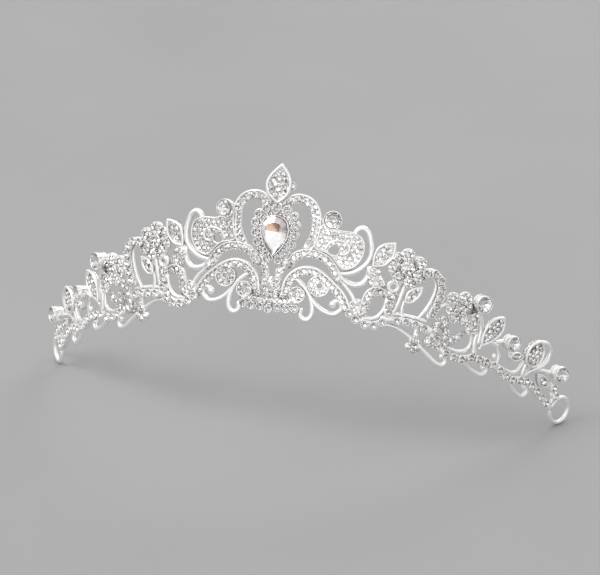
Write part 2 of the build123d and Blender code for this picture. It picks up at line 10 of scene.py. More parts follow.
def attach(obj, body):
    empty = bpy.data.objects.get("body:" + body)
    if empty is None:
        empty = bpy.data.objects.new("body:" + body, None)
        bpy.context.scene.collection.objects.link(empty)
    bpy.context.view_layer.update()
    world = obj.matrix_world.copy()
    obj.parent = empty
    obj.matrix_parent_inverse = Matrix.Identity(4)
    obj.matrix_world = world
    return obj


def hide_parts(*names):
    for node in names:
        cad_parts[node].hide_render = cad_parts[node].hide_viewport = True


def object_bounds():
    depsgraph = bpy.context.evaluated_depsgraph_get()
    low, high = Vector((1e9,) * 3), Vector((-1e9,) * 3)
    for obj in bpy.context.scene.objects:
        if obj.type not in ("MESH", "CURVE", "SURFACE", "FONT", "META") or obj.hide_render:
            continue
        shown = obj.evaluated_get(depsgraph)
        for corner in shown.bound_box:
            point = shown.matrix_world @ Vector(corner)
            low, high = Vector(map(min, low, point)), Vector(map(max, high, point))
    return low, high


# Bridal tiara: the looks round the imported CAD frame.  Every place on the tiara is (along, up, lift):
# millimetres along the lower edge from the middle, up the flared surface, and out from the middle of
# the castings.  place() turns such places into metres in the CAD frame.

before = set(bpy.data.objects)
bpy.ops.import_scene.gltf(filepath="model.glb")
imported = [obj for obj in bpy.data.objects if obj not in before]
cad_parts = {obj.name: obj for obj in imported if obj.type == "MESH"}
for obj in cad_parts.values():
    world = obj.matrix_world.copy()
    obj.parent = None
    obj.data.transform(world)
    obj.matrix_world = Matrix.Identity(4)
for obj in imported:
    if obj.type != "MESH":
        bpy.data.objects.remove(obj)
cad_low, cad_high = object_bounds()

MM = 0.001  # in metres; every other length above the lights is in millimetres
FRONT_RADIUS = 78.0  # of the lower edge, seen from above
BEND_END = 70.0  # the edge runs straight from here on
FLARE = radians(20)  # the surface leans outwards by this
LEAN = radians(40)  # the whole tiara is tipped back by this
FACE = 0.6  # lift of the castings' front; their back is at -FACE
RIM = 1.0  # lift of the top of the bright rims
PAVE_FLOOR = 0.5  # lift of the floor beside the rims
SEAT = FACE + 0.12  # lift of the small stones on the castings
GRAIN_LIFT = FACE + 0.1
ROW_CUP = 1.15  # radius of the cups in rows and round the pear stone
ROW_HEIGHT = 0.9
TALL_HEIGHT = 2.3
CUP_WALL = 0.22
CLAW_TURN = 0.8  # angle of a cup's first claw, in radians
STONE = 0.68  # radius of most small stones
STRIP_STONE = 0.8  # radius of the stones in the rimmed strips
LEAF_STONE = 0.78  # radius of the stones in the leaves
HEART_STONE = 0.62
RIBBON_STONE = 0.85
CREST_STONE = 0.8
CLOSE_STONE = 0.64  # radius that stones in the flower and the cluster keep clear
PITCH = 1.42  # spacing of most small stones
STEP = 0.22  # spacing of the points along wires and strips
FINE_STEP = 0.1  # spacing of the points that stones are placed by
PLATE_SOFT = 0.12  # softening of the plates' edges
STRIP_SOFT = 0.16  # softening of the strips' edges
BACK_SOFT = 0.18  # the same, measured up from a strip's back
PLATE_GRID = 0.9  # spacing of the points inside plates
GRAINY = 1  # number of the grained material in a casting
random.seed(7)


# ---- Places on the surface ----


def tipped(x, y, z):
    """Rows of x, y and z, tipped back with the whole tiara."""
    return np.stack([x, y * cos(LEAN) + z * sin(LEAN), z * cos(LEAN) - y * sin(LEAN)], 1)


def place(points):
    """Places (along, up, lift) in millimetres as points in the CAD frame, in metres."""
    along, up, lift = np.asarray(points, float).reshape(-1, 3).T
    bend = np.clip(along, -BEND_END, BEND_END) / FRONT_RADIUS
    run = np.maximum(along - BEND_END, 0)
    out = up * sin(FLARE) + lift * cos(FLARE)
    x = FRONT_RADIUS * np.sin(bend) + run * np.cos(bend) + out * np.sin(bend)
    y = FRONT_RADIUS * (1 - np.cos(bend)) + run * np.sin(bend) - out * np.cos(bend)
    z = up * cos(FLARE) - lift * sin(FLARE)
    return tipped(x, y, z) * MM


def axes(along):
    """Directions along the edge, up the surface and outwards, as rows, in the CAD frame."""
    bend = max(-BEND_END, min(along, BEND_END)) / FRONT_RADIUS
    side = (cos(bend), sin(bend), 0.0)
    rise = (sin(FLARE) * sin(bend), -sin(FLARE) * cos(bend), cos(FLARE))
    out = (cos(FLARE) * sin(bend), -cos(FLARE) * cos(bend), -sin(FLARE))
    return tipped(*np.array([side, rise, out]).T)


def stretch(along, up):
    """How much longer a millimetre along the edge gets at a height, where the surface is curved."""
    curved = np.abs(along) < BEND_END
    return np.where(curved, 1 + np.asarray(up) * sin(FLARE) / FRONT_RADIUS, 1.0)


def around(count, shift=0.0):
    """Evenly spaced angles round a full turn, moved on by a share of their spacing."""
    return [2 * pi * (i + shift) / count for i in range(count)]


# ---- Smooth curves through given points ----


def second_differences(knots, values, closed):
    """Second derivatives of the cubic curve through the values."""
    count = len(knots)
    matrix = np.zeros((count, count))
    right = np.zeros((count, values.shape[1]))
    gaps = np.diff(knots)
    for i in range(count):
        if i == count - 1 or (i == 0 and not closed):
            matrix[i, i] = 1
            matrix[i, 0] -= closed
            continue
        before, after = gaps[i - 1], gaps[i]
        last = i - 1 if i else count - 2
        matrix[i, last] += before
        matrix[i, i] += 2 * (before + after)
        matrix[i, i + 1] += after
        right[i] = 6 * ((values[i + 1] - values[i]) / after - (values[i] - values[last]) / before)
    return np.linalg.solve(matrix, right)


def lengths(line):
    """Length along a line up to each of its points."""
    return np.concatenate([[0], np.cumsum(np.linalg.norm(np.diff(line, axis=0), axis=1))])


def evened(line, count, with_end=True):
    """Evenly spaced points on a line."""
    run = lengths(line)
    even = np.linspace(0, run[-1], count, endpoint=with_end)
    return np.stack([np.interp(even, run, line[:, i]) for i in (0, 1)], 1)


def smooth(points, closed=False, step=STEP):
    """Evenly spaced points on the smooth curve through given ones."""
    values = np.asarray(points, float)
    if closed:
        values = np.vstack([values, values[:1]])
    knots = lengths(values)
    bends = second_differences(knots, values, closed) if len(values) > 2 else np.zeros_like(values)
    fine = np.linspace(0, knots[-1], max(8, int(knots[-1] / 0.05)))
    span = np.clip(np.searchsorted(knots, fine, "right") - 1, 0, len(knots) - 2)
    gap = (knots[span + 1] - knots[span])[:, None]
    a = (knots[span + 1] - fine)[:, None] / gap
    b = 1 - a
    line = a * values[span] + b * values[span + 1]
    line += ((a**3 - a) * bends[span] + (b**3 - b) * bends[span + 1]) * gap**2 / 6
    line = evened(line, max(3, round(lengths(line)[-1] / step)) + 1)
    return line[:-1] if closed else line


def sideways(line, closed=False):
    """Unit steps to the left of a line, true to length on the stretched surface."""
    wide = stretch(line[:, 0], line[:, 1])
    if closed:
        heading = np.roll(line, -1, 0) - np.roll(line, 1, 0)
    else:
        heading = np.gradient(line, axis=0)
    heading = heading * np.stack([wide, np.ones_like(wide)], 1)
    heading /= np.linalg.norm(heading, axis=1)[:, None]
    return np.stack([-heading[:, 1] / wide, heading[:, 0]], 1), heading


def turned_left(loop):
    """A closed loop, run anticlockwise."""
    following = np.roll(loop, -1, 0)
    area = np.sum(loop[:, 0] * following[:, 1] - following[:, 0] * loop[:, 1])
    return loop if area > 0 else loop[::-1]


def inset(loop, margin):
    """A closed anticlockwise loop moved inwards."""
    return loop + sideways(loop, closed=True)[0] * margin


def inside(points, loop, holes=()):
    """Which points lie inside a closed loop and outside the holes in it."""
    x, y = np.asarray(points, float).T
    hit = np.zeros(len(x), bool)
    for (a, b), (c, d) in zip(loop, np.roll(loop, -1, 0)):
        if b != d:
            crosses = ((b > y) != (d > y)) & (x < a + (y - b) * (c - a) / (d - b))
            hit ^= crosses
    for hole in holes:
        hit &= ~inside(points, hole)
    return hit


# ---- Collecting mesh parts into one piece ----


def new_object(name, data):
    """Object in the scene, at the origin."""
    made = bpy.data.objects.new(name, data)
    bpy.context.scene.collection.objects.link(made)
    return made


class Shape:
    """Points, faces and material numbers of one piece, in the CAD frame."""

    def __init__(self):
        self.points = []
        self.faces = []
        self.marks = []
        self.smooth = []
        self.total = 0

    def add(self, points, faces, marks=0, smooth_faces=True):
        """Add points in metres, faces that count from the first of them, and material numbers."""
        self.points.append(np.asarray(points, float))
        self.faces += [tuple(int(i) + self.total for i in face) for face in faces]
        self.marks += marks if isinstance(marks, list) else [marks] * len(faces)
        self.smooth += [smooth_faces] * len(faces)
        self.total += len(points)

    def make(self, name, slot="casting_metal", mirrored=False):
        """Make the piece, riding on the body in place of the CAD node of the same name."""
        points = np.vstack(self.points)
        faces = self.faces
        if mirrored:
            points = points * (-1, 1, 1)
            faces = [face[::-1] for face in faces]
        mesh = bpy.data.meshes.new(name + ".look")
        mesh.from_pydata(points.tolist(), [], faces)
        mesh.polygons.foreach_set("material_index", self.marks)
        mesh.polygons.foreach_set("use_smooth", self.smooth)
        for material in LOOKS[slot]:
            mesh.materials.append(material)
        mesh.update()
        piece = new_object(name + ".look", mesh)
        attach(piece, "root")
        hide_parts(name)

    def make_pair(self, name, slot="casting_metal"):
        """Make the piece and its mirror image."""
        self.make(name + "_left", slot)
        self.make(name + "_right", slot, mirrored=True)


# ---- Wires, strips, plates, pads, cups and stones ----


def tube_faces(rings, size, closed):
    """Quads that join rings of points; capped at both ends unless closed."""
    faces = []
    for i in range(rings if closed else rings - 1):
        k = (i + 1) % rings
        for j in range(size):
            m = (j + 1) % size
            faces.append((i * size + j, k * size + j, k * size + m, i * size + m))
    if not closed:
        faces.append(tuple(range(size)))
        faces.append(tuple(range((rings - 1) * size, rings * size))[::-1])
    return faces


def sweep(shape, line, profile, closed=False, domed=False, mark=0):
    """Run a profile of (side, lift) points along a line; its ends are rounded, or domed on round wire."""
    profile = np.asarray(profile, float)
    left, heading = sideways(line, closed)
    middle = (profile[:, 1].min() + profile[:, 1].max()) / 2
    half = np.abs(profile[:, 0]).max()
    stations = [(line[i], left[i], 1.0) for i in range(len(line))]
    if not closed:
        for end, sign in ((0, -1), (-1, 1)):
            ahead = heading[end] * (1 / float(stretch(*line[end])), 1)
            extra = []
            for turn in map(radians, (20, 40, 58, 74, 86)):
                point = line[end] + sign * ahead * half * sin(turn)
                extra.append((point, left[end], cos(turn)))
            stations = stations + extra if end else extra[::-1] + stations
    rings = []
    for point, side, size in stations:
        spots = point + np.outer(profile[:, 0] * size, side)
        lifts = middle + (profile[:, 1] - middle) * size if domed else profile[:, 1]
        rings.append(np.column_stack([spots, lifts]))
    size = len(profile)
    faces = tube_faces(len(rings), size, closed)
    in_front = [mark if min(profile[j - 1][1], profile[j][1]) > 0 else 0 for j in range(size)]
    marks = (in_front[1:] + in_front[:1]) * (len(faces) // size)
    shape.add(place(np.vstack(rings)), faces, marks + [0] * (len(faces) - len(marks)))


def round_profile(diameter, lift=0.0, points=12):
    """Round wire's profile."""
    return [(diameter / 2 * cos(a), lift - diameter / 2 * sin(a)) for a in around(points)]


def half_round(middle, radius, top):
    """Half-round ridge's profile, from its right foot over to its left foot."""
    turns = map(radians, range(180, -1, -30))
    return [(middle + radius * cos(a), top - radius + radius * sin(a)) for a in turns]


def strip_profile(width, rim):
    """Strip with a raised rim on its left and a sunk floor for stones beside it."""
    half = width / 2
    low = BACK_SOFT - FACE
    ridge = half_round(half - rim / 2, rim / 2, RIM)
    back = [(half, low), (half - STRIP_SOFT, -FACE), (STRIP_SOFT - half, -FACE), (-half, low)]
    floor = [(-half, PAVE_FLOOR - 0.1), (0.12 - half, PAVE_FLOOR)]
    return [(half - rim, PAVE_FLOOR)] + ridge + back + floor


def plain_profile(width, front=FACE, back=-FACE):
    """Strip with softened edges."""
    edge = width / 2
    half = [(edge - STRIP_SOFT, front), (edge, front - STRIP_SOFT)]
    half += [(edge, back + BACK_SOFT), (edge - STRIP_SOFT, back)]
    return half + [(-side, lift) for side, lift in half[::-1]]


def flat(shape, points, width, mark=0, front=FACE):
    """Strip with softened edges along a smooth curve."""
    sweep(shape, smooth(points), plain_profile(width, front), mark=mark)


def raised(points, lift):
    """Flat points (along, up), all given one lift."""
    return np.column_stack([points, np.full(len(points), lift)])


def plate(shape, loop, holes, front, back=-FACE, mark=0):
    """Casting between two lifts inside a loop, round any holes, with softened edges; its back has mark 0."""
    loop = turned_left(loop)
    holes = [turned_left(hole)[::-1] for hole in holes]
    columns, rows = (np.arange(loop[:, i].min(), loop[:, i].max(), PLATE_GRID) for i in (0, 1))
    grid = np.array([(a, u) for a in columns for u in rows])
    grid = grid[inside(grid, inset(loop, PLATE_GRID / 3), holes)]
    loops = [loop] + holes
    edges = [inset(one, PLATE_SOFT) for one in loops]
    bounds = []
    for edge in edges:
        start = len(bounds)
        bounds += [(start + i, start + (i + 1) % len(edge)) for i in range(len(edge))]
    given = np.vstack(edges + [grid])
    made = delaunay_2d_cdt([Vector(p) for p in given], bounds, [], 0, 1e-5)
    # The points as given, because those handed back have fewer digits and wouldn't meet the sides
    points = np.array([given[same[0]] if same else tuple(p) for p, same in zip(made[0], made[3])])
    faces = np.array([tuple(f) for f in made[2]])
    faces = faces[inside(points[faces].mean(1), edges[0], edges[1:])]
    a, b, c = (points[faces[:, i]] for i in range(3))
    clockwise = (b[:, 0] - a[:, 0]) * (c[:, 1] - a[:, 1]) < (b[:, 1] - a[:, 1]) * (c[:, 0] - a[:, 0])
    faces[clockwise] = faces[clockwise][:, ::-1]
    shape.add(place(raised(points, front)), faces, mark)
    shape.add(place(raised(points, back)), faces[:, ::-1])
    for one, edge in zip(loops, edges):
        rings = [(edge, front), (one, front - PLATE_SOFT), (one, back + PLATE_SOFT), (edge, back)]
        stacked = np.vstack([raised(ring, lift) for ring, lift in rings])
        sides = tube_faces(len(rings), len(one), False)[:-2]  # without the caps
        shape.add(place(stacked), sides, mark)


def rimmed_plate(shape, loop, holes=(), rim=0.5, top=RIM, floor=PAVE_FLOOR, back=-FACE):
    """Plate with a raised rim round its edge and a thin one round each hole."""
    loop = turned_left(loop)
    plate(shape, loop, holes, floor, back, GRAINY)
    half = rim / 2
    ridge = half_round(0, half, top)
    ridge = [(half, floor - 0.3)] + ridge[::-1] + [(-half, floor - 0.3)]
    sweep(shape, inset(loop, half), ridge, closed=True)
    for hole in holes:
        sweep(shape, inset(turned_left(hole)[::-1], 0.16), round_profile(0.36, floor), closed=True)


def on_surface(spot, local):
    """Points given from a spot, along the edge, up and outwards, as points in the CAD frame, in metres."""
    return place([(*spot, 0)])[0] + np.asarray(local) @ axes(spot[0]) * MM


def lathe(shape, spot, profile, segments=28, mark=0, aside=(0, 0)):
    """Turn a profile of (radius, lift) points round the outward direction at a spot or aside from it."""
    local = [
        (aside[0] + radius * cos(angle), aside[1] + radius * sin(angle), lift)
        for radius, lift in profile
        for angle in around(segments)
    ]
    faces = tube_faces(len(profile), segments, False)
    shape.add(on_surface(spot, local), [face[::-1] for face in faces], mark)


def ball(shape, spot, lift, radius, rings=5, segments=8, aside=(0, 0)):
    """Small round bead at a lift over a spot or aside from it."""
    tilts = [pi * (i + 0.5) / rings for i in range(rings)]
    profile = [(radius * sin(tilt), lift - radius * cos(tilt)) for tilt in tilts]
    lathe(shape, spot, profile, segments, aside=aside)


def cup(shape, spot, radius, height, base=FACE, claws=0):
    """Round cup with a rolled rim and, if wanted, claws."""
    top = base + height
    inner = radius - CUP_WALL
    profile = [(radius - 0.1, base - 0.1), (radius - 0.02, base + 0.1), (radius, base + height * 0.5)]
    profile += [(radius, top - 0.1), (radius - 0.05, top - 0.02), (radius - CUP_WALL / 2, top)]
    profile += [(inner, top - 0.06), (inner - 0.02, base + 0.25)]
    lathe(shape, spot, profile, 28 if radius > 2 else 20)
    reach = radius - 0.13
    for angle in around(claws):
        aside = (reach * cos(CLAW_TURN + angle), reach * sin(CLAW_TURN + angle))
        ball(shape, spot, top + 0.02, 0.24, aside=aside)


def ring_at(radius, lift, count, shift=0.0):
    """Points of a ring round (0, 0), turned by a share of their spacing."""
    return [(radius * cos(a), radius * sin(a), lift) for a in around(count, shift)]


def brilliant(sides=8, table=0.56, crown=0.36, pavilion=0.62):
    """Round cut stone of radius 1 with its girdle at lift 0: points, faces and material numbers."""
    girdle = 0.03
    upper = ring_at(1.0, girdle, 2 * sides)
    lower = ring_at(1.0, -girdle, 2 * sides)
    stars = ring_at(0.79, crown * 0.58, sides, 0.5)
    tables = ring_at(table, crown, sides)
    mids = ring_at(0.52, -pavilion * 0.55, sides, 0.5)
    points = upper + lower + stars + tables + mids + [(0, 0, -pavilion)]
    low, star, top, mid = (n * sides for n in (2, 4, 5, 6))
    faces = [tuple(top + i for i in range(sides))]
    marks = [0]
    for i in range(sides):
        k = (i + 1) % sides
        before = (i - 1) % sides
        a, b, c = 2 * i, 2 * i + 1, (2 * i + 2) % low
        crown_faces = [
            (top + before, star + before, top + i),
            (top + i, star + before, a, star + i),
            (star + i, a, b),
            (star + i, b, c),
            (a, low + a, low + b, b),
            (b, low + b, low + c, c),
        ]
        foil_faces = [
            (low + a, mid + i, low + b),
            (low + b, mid + i, low + c),
            (low + c, mid + i, 7 * sides, mid + k),
        ]
        faces += crown_faces + foil_faces
        marks += [0] * 6 + [1] * 3
    return np.array(points), faces, marks


def chip(sides=6):
    """Small cut stone of radius 1: a table, one row of crown faces and a foiled cone."""
    points = ring_at(1.0, 0.0, sides) + ring_at(0.5, 0.36, sides, 0.5) + [(0, 0, -0.5)]
    faces = [tuple(sides + i for i in range(sides))]
    marks = [0]
    for i in range(sides):
        k = (i + 1) % sides
        faces += [(i, k, sides + i), (sides + i, k, sides + k), (k, i, 2 * sides)]
        marks += [0, 0, 1]
    return np.array(points), faces, marks


ROUND_CUT = brilliant()
LARGE_CUT = brilliant(sides=6, table=0.62, crown=0.3, pavilion=0.5)
CHIP_CUT = chip()


def set_stones(shape, spots, radius, lift, cut, tilt):
    """Put a cut stone at each spot, turned and very slightly tipped at random."""
    points, faces, marks = cut
    for spot in spots:
        angle = random.uniform(0, 2 * pi)
        lean = [random.uniform(-tilt, tilt), random.uniform(-tilt, tilt)]
        turned = points.copy()
        turned[:, 0] = points[:, 0] * cos(angle) - points[:, 1] * sin(angle)
        turned[:, 1] = points[:, 0] * sin(angle) + points[:, 1] * cos(angle)
        turned[:, 2] += turned[:, 0] * lean[0] + turned[:, 1] * lean[1]
        turned *= radius
        turned[:, 2] += lift
        shape.add(on_surface(spot, turned), faces, marks, False)


# ---- Small stones' places ----


def row(points, side=0.0, pitch=PITCH, start=0.7):
    """Evenly spaced places along a line, moved to its left."""
    line = smooth(points, step=FINE_STEP)
    left = sideways(line)[0]
    first = start / FINE_STEP
    room = len(line) - 1 - 2 * first
    count = max(1, round(room * FINE_STEP / pitch))
    picks = (first + room * np.arange(count + 1) / count).astype(int)
    return [tuple(line[i] + left[i] * side) for i in picks]


def halfway(places):
    """Places between neighbouring ones."""
    return [((a + c) / 2, (b + d) / 2) for (a, b), (c, d) in zip(places, places[1:])]


def filled(loop, margin=0.75, pitch=PITCH):
    """Places for small stones in staggered rows inside a closed loop."""
    low = loop.min(0)
    high = loop.max(0)
    places = []
    for step, up in enumerate(np.arange(low[1] + margin, high[1], pitch * 0.87)):
        for along in np.arange(low[0] + 0.5 * pitch * (step % 2), high[0], pitch):
            places.append((along, up))
    near = [min(np.linalg.norm(loop - spot, axis=1)) for spot in places]
    held = inside(places, loop)
    return [places[i] for i in range(len(places)) if held[i] and near[i] >= margin]


def ring_of(centre, radius, count):
    """Places round a centre."""
    return [(centre[0] + radius * cos(a), centre[1] + radius * sin(a)) for a in around(count)]


def spaced(places, taken, radius=STONE):
    """The places that keep clear of the round things taken, as (along, up, radius), and of each other."""
    kept = []
    need = 0.9 * radius  # a little less than a stone's radius, because neighbours may just touch
    for along, up in places:
        free = all(hypot(along - a, up - u) > size + need for a, u, size in taken)
        if free and all(hypot(along - a, up - u) > 2 * need for a, u in kept):
            kept.append((along, up))
    return kept


def leaf_loop(foot, left, tip, right):
    """Outline of a pointed leaf."""
    edges = [smooth([foot, *left, tip]), smooth([tip, *right, foot])]
    return turned_left(np.vstack([edges[0][:-1], edges[1][:-1]]))


# ---- Where everything is, on the half at +X ----

HALO = [(0, 26.9), (2.5, 26.7), (4.3, 25.1), (5, 22.7), (4.9, 20.1), (4.2, 17.5), (3.1, 15.1), (1.5, 13.2)]
BASE_ROW = [(0, -0.3), (2.4, 0.2), (4.8, 0.3), (7.1, 0.6)]
FESTOON = [(21.6, 1.7), (23.5, 0.3), (26.1, -0.6), (28.5, -0.5), (30.6, 0.9)]
STEM_ROW = [(31.6, 6.2), (31.8, 3.8)]
INNER_ROW = [(34.3, 2.1), (36.9, 2.3), (39.5, 2.2), (42.1, 1.8)]
ARCH_ROW = [(39, 16.4), (41.3, 16.8), (43.2, 15.4), (44.1, 13.1), (44.3, 10.7), (44, 8.3), (43.4, 6)]
MIDDLE_ROW = [(50.4, -3.3), (53, -3.9), (55.7, -3.9), (58.4, -2.7), (61, -2.5), (63.7, -2.6), (66.4, -2.9)]
END_ROW = [(69.3, -3.6), (72.2, -4.7), (75, -5), (77.6, -4.4), (80.1, -4.1), (82.7, -4.7)]
END_ROW += [(85.3, -5.7), (87.8, -6.9), (90.4, -8.1), (90.9, -3.3), (92.9, -5.3)]
# Tall cups: place and radius. The topmost ones don't quite mirror each other
TALL_LEFT = {(13.8, 25.8): 2.55}
TALL_RIGHT = {(12.4, 26): 2.55}
TALL_BOTH = {(56.2, 12.4): 2.5, (69.4, 4.7): 2.3, (90.6, 1.1): 2.4}
CREST_CUP = (3, 33.2)

# Lines along the middle of strips and wires, and outlines of plates
HEART = [(2.6, 28.6), (4.2, 30), (6.4, 30.1), (8.6, 28.7), (9.8, 26), (10, 22.6), (9.5, 19.4), (8.3, 16.8)]
UPPER = [(4.4, 12.2), (5.8, 14.6), (8, 15.7), (10.2, 15.9), (12.8, 15.3), (14.9, 13.7), (16.4, 11.7)]
UPPER += [(17.8, 9.8)]
SCROLL = [(4, 5), (4.6, 7.6), (6.2, 9.9), (8.4, 11.1), (10.6, 11.2), (13, 10.2), (15.6, 8.4)]
SCROLL += [(18, 6.4), (19.6, 4.4), (20.6, 2.6)]
STEM = [(3.5, 13.6), (2.3, 11.2), (1.7, 8.6), (1.6, 5.6), (1.6, 2.4)]
BASE = [(0, 1.5), (4, 1.7), (7.4, 2)]
HORSESHOE = [(25.2, 2.4), (25.3, 5.2), (26, 7.8), (27.6, 8.9), (29.5, 8.4)]
PATCH = [(25.9, 13.6), (26.5, 12), (27.6, 10.4)]
ARCH = [(38.6, 16.4), (40.4, 16.9), (42.2, 16.4), (43.6, 14.8), (44.2, 12.4), (44.2, 10), (43.9, 7.6)]
ARCH += [(43.2, 5.2)]
MIDDLE_LINE = [(48.6, -2.6), (52.6, -3.8), (56.4, -3.6), (60.4, -2.5), (66.6, -2.9)]
END_LINE = [(66.6, -2.9), (72.2, -4.7), (75.6, -4.9), (80, -4.1), (85, -5.6), (93.2, -9)]
PETALS = [(33.4, 20), (36.8, 18.5), (37.6, 15.1), (35.6, 13.2), (32.6, 13.5), (30.9, 15.9), (31.2, 18.5)]
FLOWER = (34.2, 16.5)
LOBES = [(48.1, 11.4), (51.4, 12.4), (48.5, 8.6), (51.3, 9.4), (50, 6.6), (53.5, 6.6), (55.9, 7.6), (56, 4.8)]
SCROLL_DISC = (12.6, 7.5)
SMALL_DISC = (7.2, 4.4)
FOOT_DISC = (23.4, 3.6)

FAN = [(10.6, 25.8), (12.6, 24.8), (15.4, 23.4), (18.6, 23.4), (21.4, 22.3), (22.5, 19.6), (22.1, 16.2)]
FAN += [(20.4, 13.8), (17.9, 12.9), (15.8, 14.7), (13.4, 16.6), (10.4, 17.4), (10, 21.5)]
FAN_GAP = [(13.7, 17.2), (14.5, 18.7), (16.1, 19.4), (16.3, 17.9), (15.9, 16.6)]
FAN_CURL = [(13, 17.8), (13.8, 19.4), (15.4, 20.4), (17.4, 20.3), (18.7, 19), (18.4, 17.4), (17.2, 16.9)]
RIBBON = [(43.6, -2.4), (44.4, 1), (45, 4.4), (46.6, 6.4), (48.6, 5.4), (49.3, 3.2), (50.8, 1.6)]
RIBBON += [(52.8, 2.6), (54.4, 3.6), (53.6, 1.2), (51.8, -0.8), (49.6, -2.2), (47.6, -2.7), (45.6, -3.4)]
RIBBON_STONES = [(44.7, -1.6), (46.4, -1.9), (48.1, -1.7), (49.8, -1.2), (45.2, 0.2), (45.7, 1.9)]
RIBBON_STONES += [(46, 3.7), (47.7, 4.3), (49.3, 0.5), (51.2, 0.3), (52.7, 1.5), (47, 5.6), (49.2, 2.2)]
INSIDE_HALO = [(0, 27.8), (3.4, 26.4), (5, 23.4), (4.9, 19.8), (3.8, 16), (2, 13.2), (0, 12.6)]
INSIDE_HALO += [(-along, up) for along, up in reversed(INSIDE_HALO[1:-1])]

# Leaves: foot, left edge, tip, right edge
CREST = [(0.2, 28.1), [(-2, 30.1), (-3, 32.8), (-1.8, 36.4)]]
CREST += [(0.5, 39.2), [(2.5, 36.5), (3.2, 33.1), (2.3, 30.2)]]
LEAF_ONE = [(25, 15), [(24.9, 18.2), (25.7, 20.7), (27.5, 22.1)]]
LEAF_ONE += [(29.8, 22.7), [(30.2, 20.2), (29.5, 17.4), (27.4, 15.4)]]
STEM_LEAF = [(35.3, 7.2), [(35.2, 9.5), (36.5, 11.6)], (39.2, 12.6), [(39.3, 10.7), (38.4, 8.6), (36.9, 7.3)]]
LEAF_TWO = [(60.4, 0.8), [(59.8, 4), (60.2, 7.2), (61.9, 9.7)]]
LEAF_TWO += [(64.7, 10.9), [(65.9, 8.4), (65.4, 5.5), (63.4, 2.8)]]
LEAF_THREE = [(79.9, -0.2), [(77.4, 0.8), (76.4, 3.6), (77.3, 6.4)]]
LEAF_THREE += [(79.8, 8.2), [(82.2, 6.4), (82.9, 3.6), (82, 1)]]
TWIG_LEAF = [(71.3, 0.5), [(72.1, 2.1), (74.2, 2.9)], (76.4, 2.2), [(75.3, 0.7), (73.2, 0)]]
END_LEAF = [(83.7, -1), [(86.2, -0.9), (88.3, -1.9)], (89.2, -3.8), [(87, -4.3), (84.9, -3.2)]]

PEAR_SIDE = [(0, 14.2), (1.7, 16.3), (2.95, 19), (3.25, 21.5), (2.3, 24), (0, 24.9)]
ROWS = FESTOON + STEM_ROW + INNER_ROW + ARCH_ROW + MIDDLE_ROW + END_ROW
CURL = [(6.6, 8.5), (9.2, 6.3), (11.2, 3.7), (13.2, 1.8), (15.6, 0.7), (17.8, 0.7), (19.2, 1.9)]
HOOK = [(9.2, 6.4), (10.8, 3.8), (11.6, 1.6), (11.7, -0.4), (10.8, -1.9), (9.5, -2), (8.6, -1), (8.7, 0.3)]
CLUSTER_WIRE = [(50.9, -1.8), (53.6, -2.2), (55.8, -1.7), (57.2, -0.4), (57.3, 1.4), (56.7, 3.4)]
FAN_LOOP = [(19.5, 22.4), (20.1, 24.1), (21.2, 24.8), (22.4, 24.2), (23.5, 22.2), (24.2, 19.6), (24.2, 17)]
FAN_LOOP += [(23.2, 14.8), (21.3, 13), (19.4, 12.1), (17.4, 11.7)]
LEAF_LOOP = [(81.4, 7.6), (83.5, 7.7), (85.4, 6), (85.5, 3.4), (84.1, 1), (81.4, -0.8), (79.6, -2.6)]
HOOKS = [
    [(42.8, -3.6), (45, -4.8), (47.5, -6.2), (49.8, -7), (51.3, -6.7), (51.6, -5.5), (50.6, -4.2)],
    [(57.2, -4.2), (59.6, -5.7), (62.4, -6.4), (64.8, -6.3), (65.6, -5.2), (64.8, -3.4)],
    [(74.6, -5.6), (77, -7.3), (79.6, -8.4), (81.6, -8.5), (82.6, -7.2), (81.6, -5)],
]
HOOK_BEADS = [(49.9, -4.5), (63.9, -4.3), (80.8, -5.7)]


# ---- Materials ----


def material(name, recipe, *settings):
    """Node material with the surface that a recipe makes."""
    made = bpy.data.materials.new(name)
    made.use_nodes = True
    tree = made.node_tree
    tree.nodes.clear()
    output = tree.nodes.new("ShaderNodeOutputMaterial")
    tree.links.new(recipe(tree, *settings).outputs[0], output.inputs["Surface"])
    return made


def add_node(tree, kind, **inputs):
    """Node with its inputs set to values or linked to sockets; input names use _ for spaces."""
    node = tree.nodes.new("ShaderNode" + kind)
    for key, value in inputs.items():
        socket = node.inputs[key.replace("_", " ")]
        if isinstance(value, bpy.types.NodeSocket):
            tree.links.new(value, socket)
        else:
            socket.default_value = value
    return node


def ramp(tree, factor, *stops):
    """Colour ramp: (position, colour) stops."""
    node = tree.nodes.new("ShaderNodeValToRGB")
    elements = node.color_ramp.elements
    while len(elements) < len(stops):
        elements.new(0.5)
    for element, (position, colour) in zip(elements, stops):
        element.position = position
        element.color = (*colour, 1)
    tree.links.new(factor, node.inputs["Fac"])
    return node.outputs["Color"]


def multiplied(tree, one, other):
    """Product of two colours; the mixing node's colour inputs are 6 and 7, and its colour output is 2."""
    mix = tree.nodes.new("ShaderNodeMix")
    mix.data_type = "RGBA"
    mix.blend_type = "MULTIPLY"
    mix.inputs["Factor"].default_value = 1
    tree.links.new(one, mix.inputs[6])
    tree.links.new(other, mix.inputs[7])
    return mix.outputs[2]


def own_place(tree):
    """Place in the object's own coordinates."""
    return tree.nodes.new("ShaderNodeTexCoord").outputs["Object"]


def noise(tree, scale, detail=3.0):
    """Noise in the object's own coordinates."""
    return add_node(tree, "TexNoise", Vector=own_place(tree), Scale=scale, Detail=detail).outputs["Fac"]


def principled(tree, colour, rough, **others):
    """Principled shader."""
    return add_node(tree, "BsdfPrincipled", Base_Color=colour, Roughness=rough, **others)


WHITE = (1.0, 1.0, 1.0)
SILVER = (0.99, 0.985, 0.98)


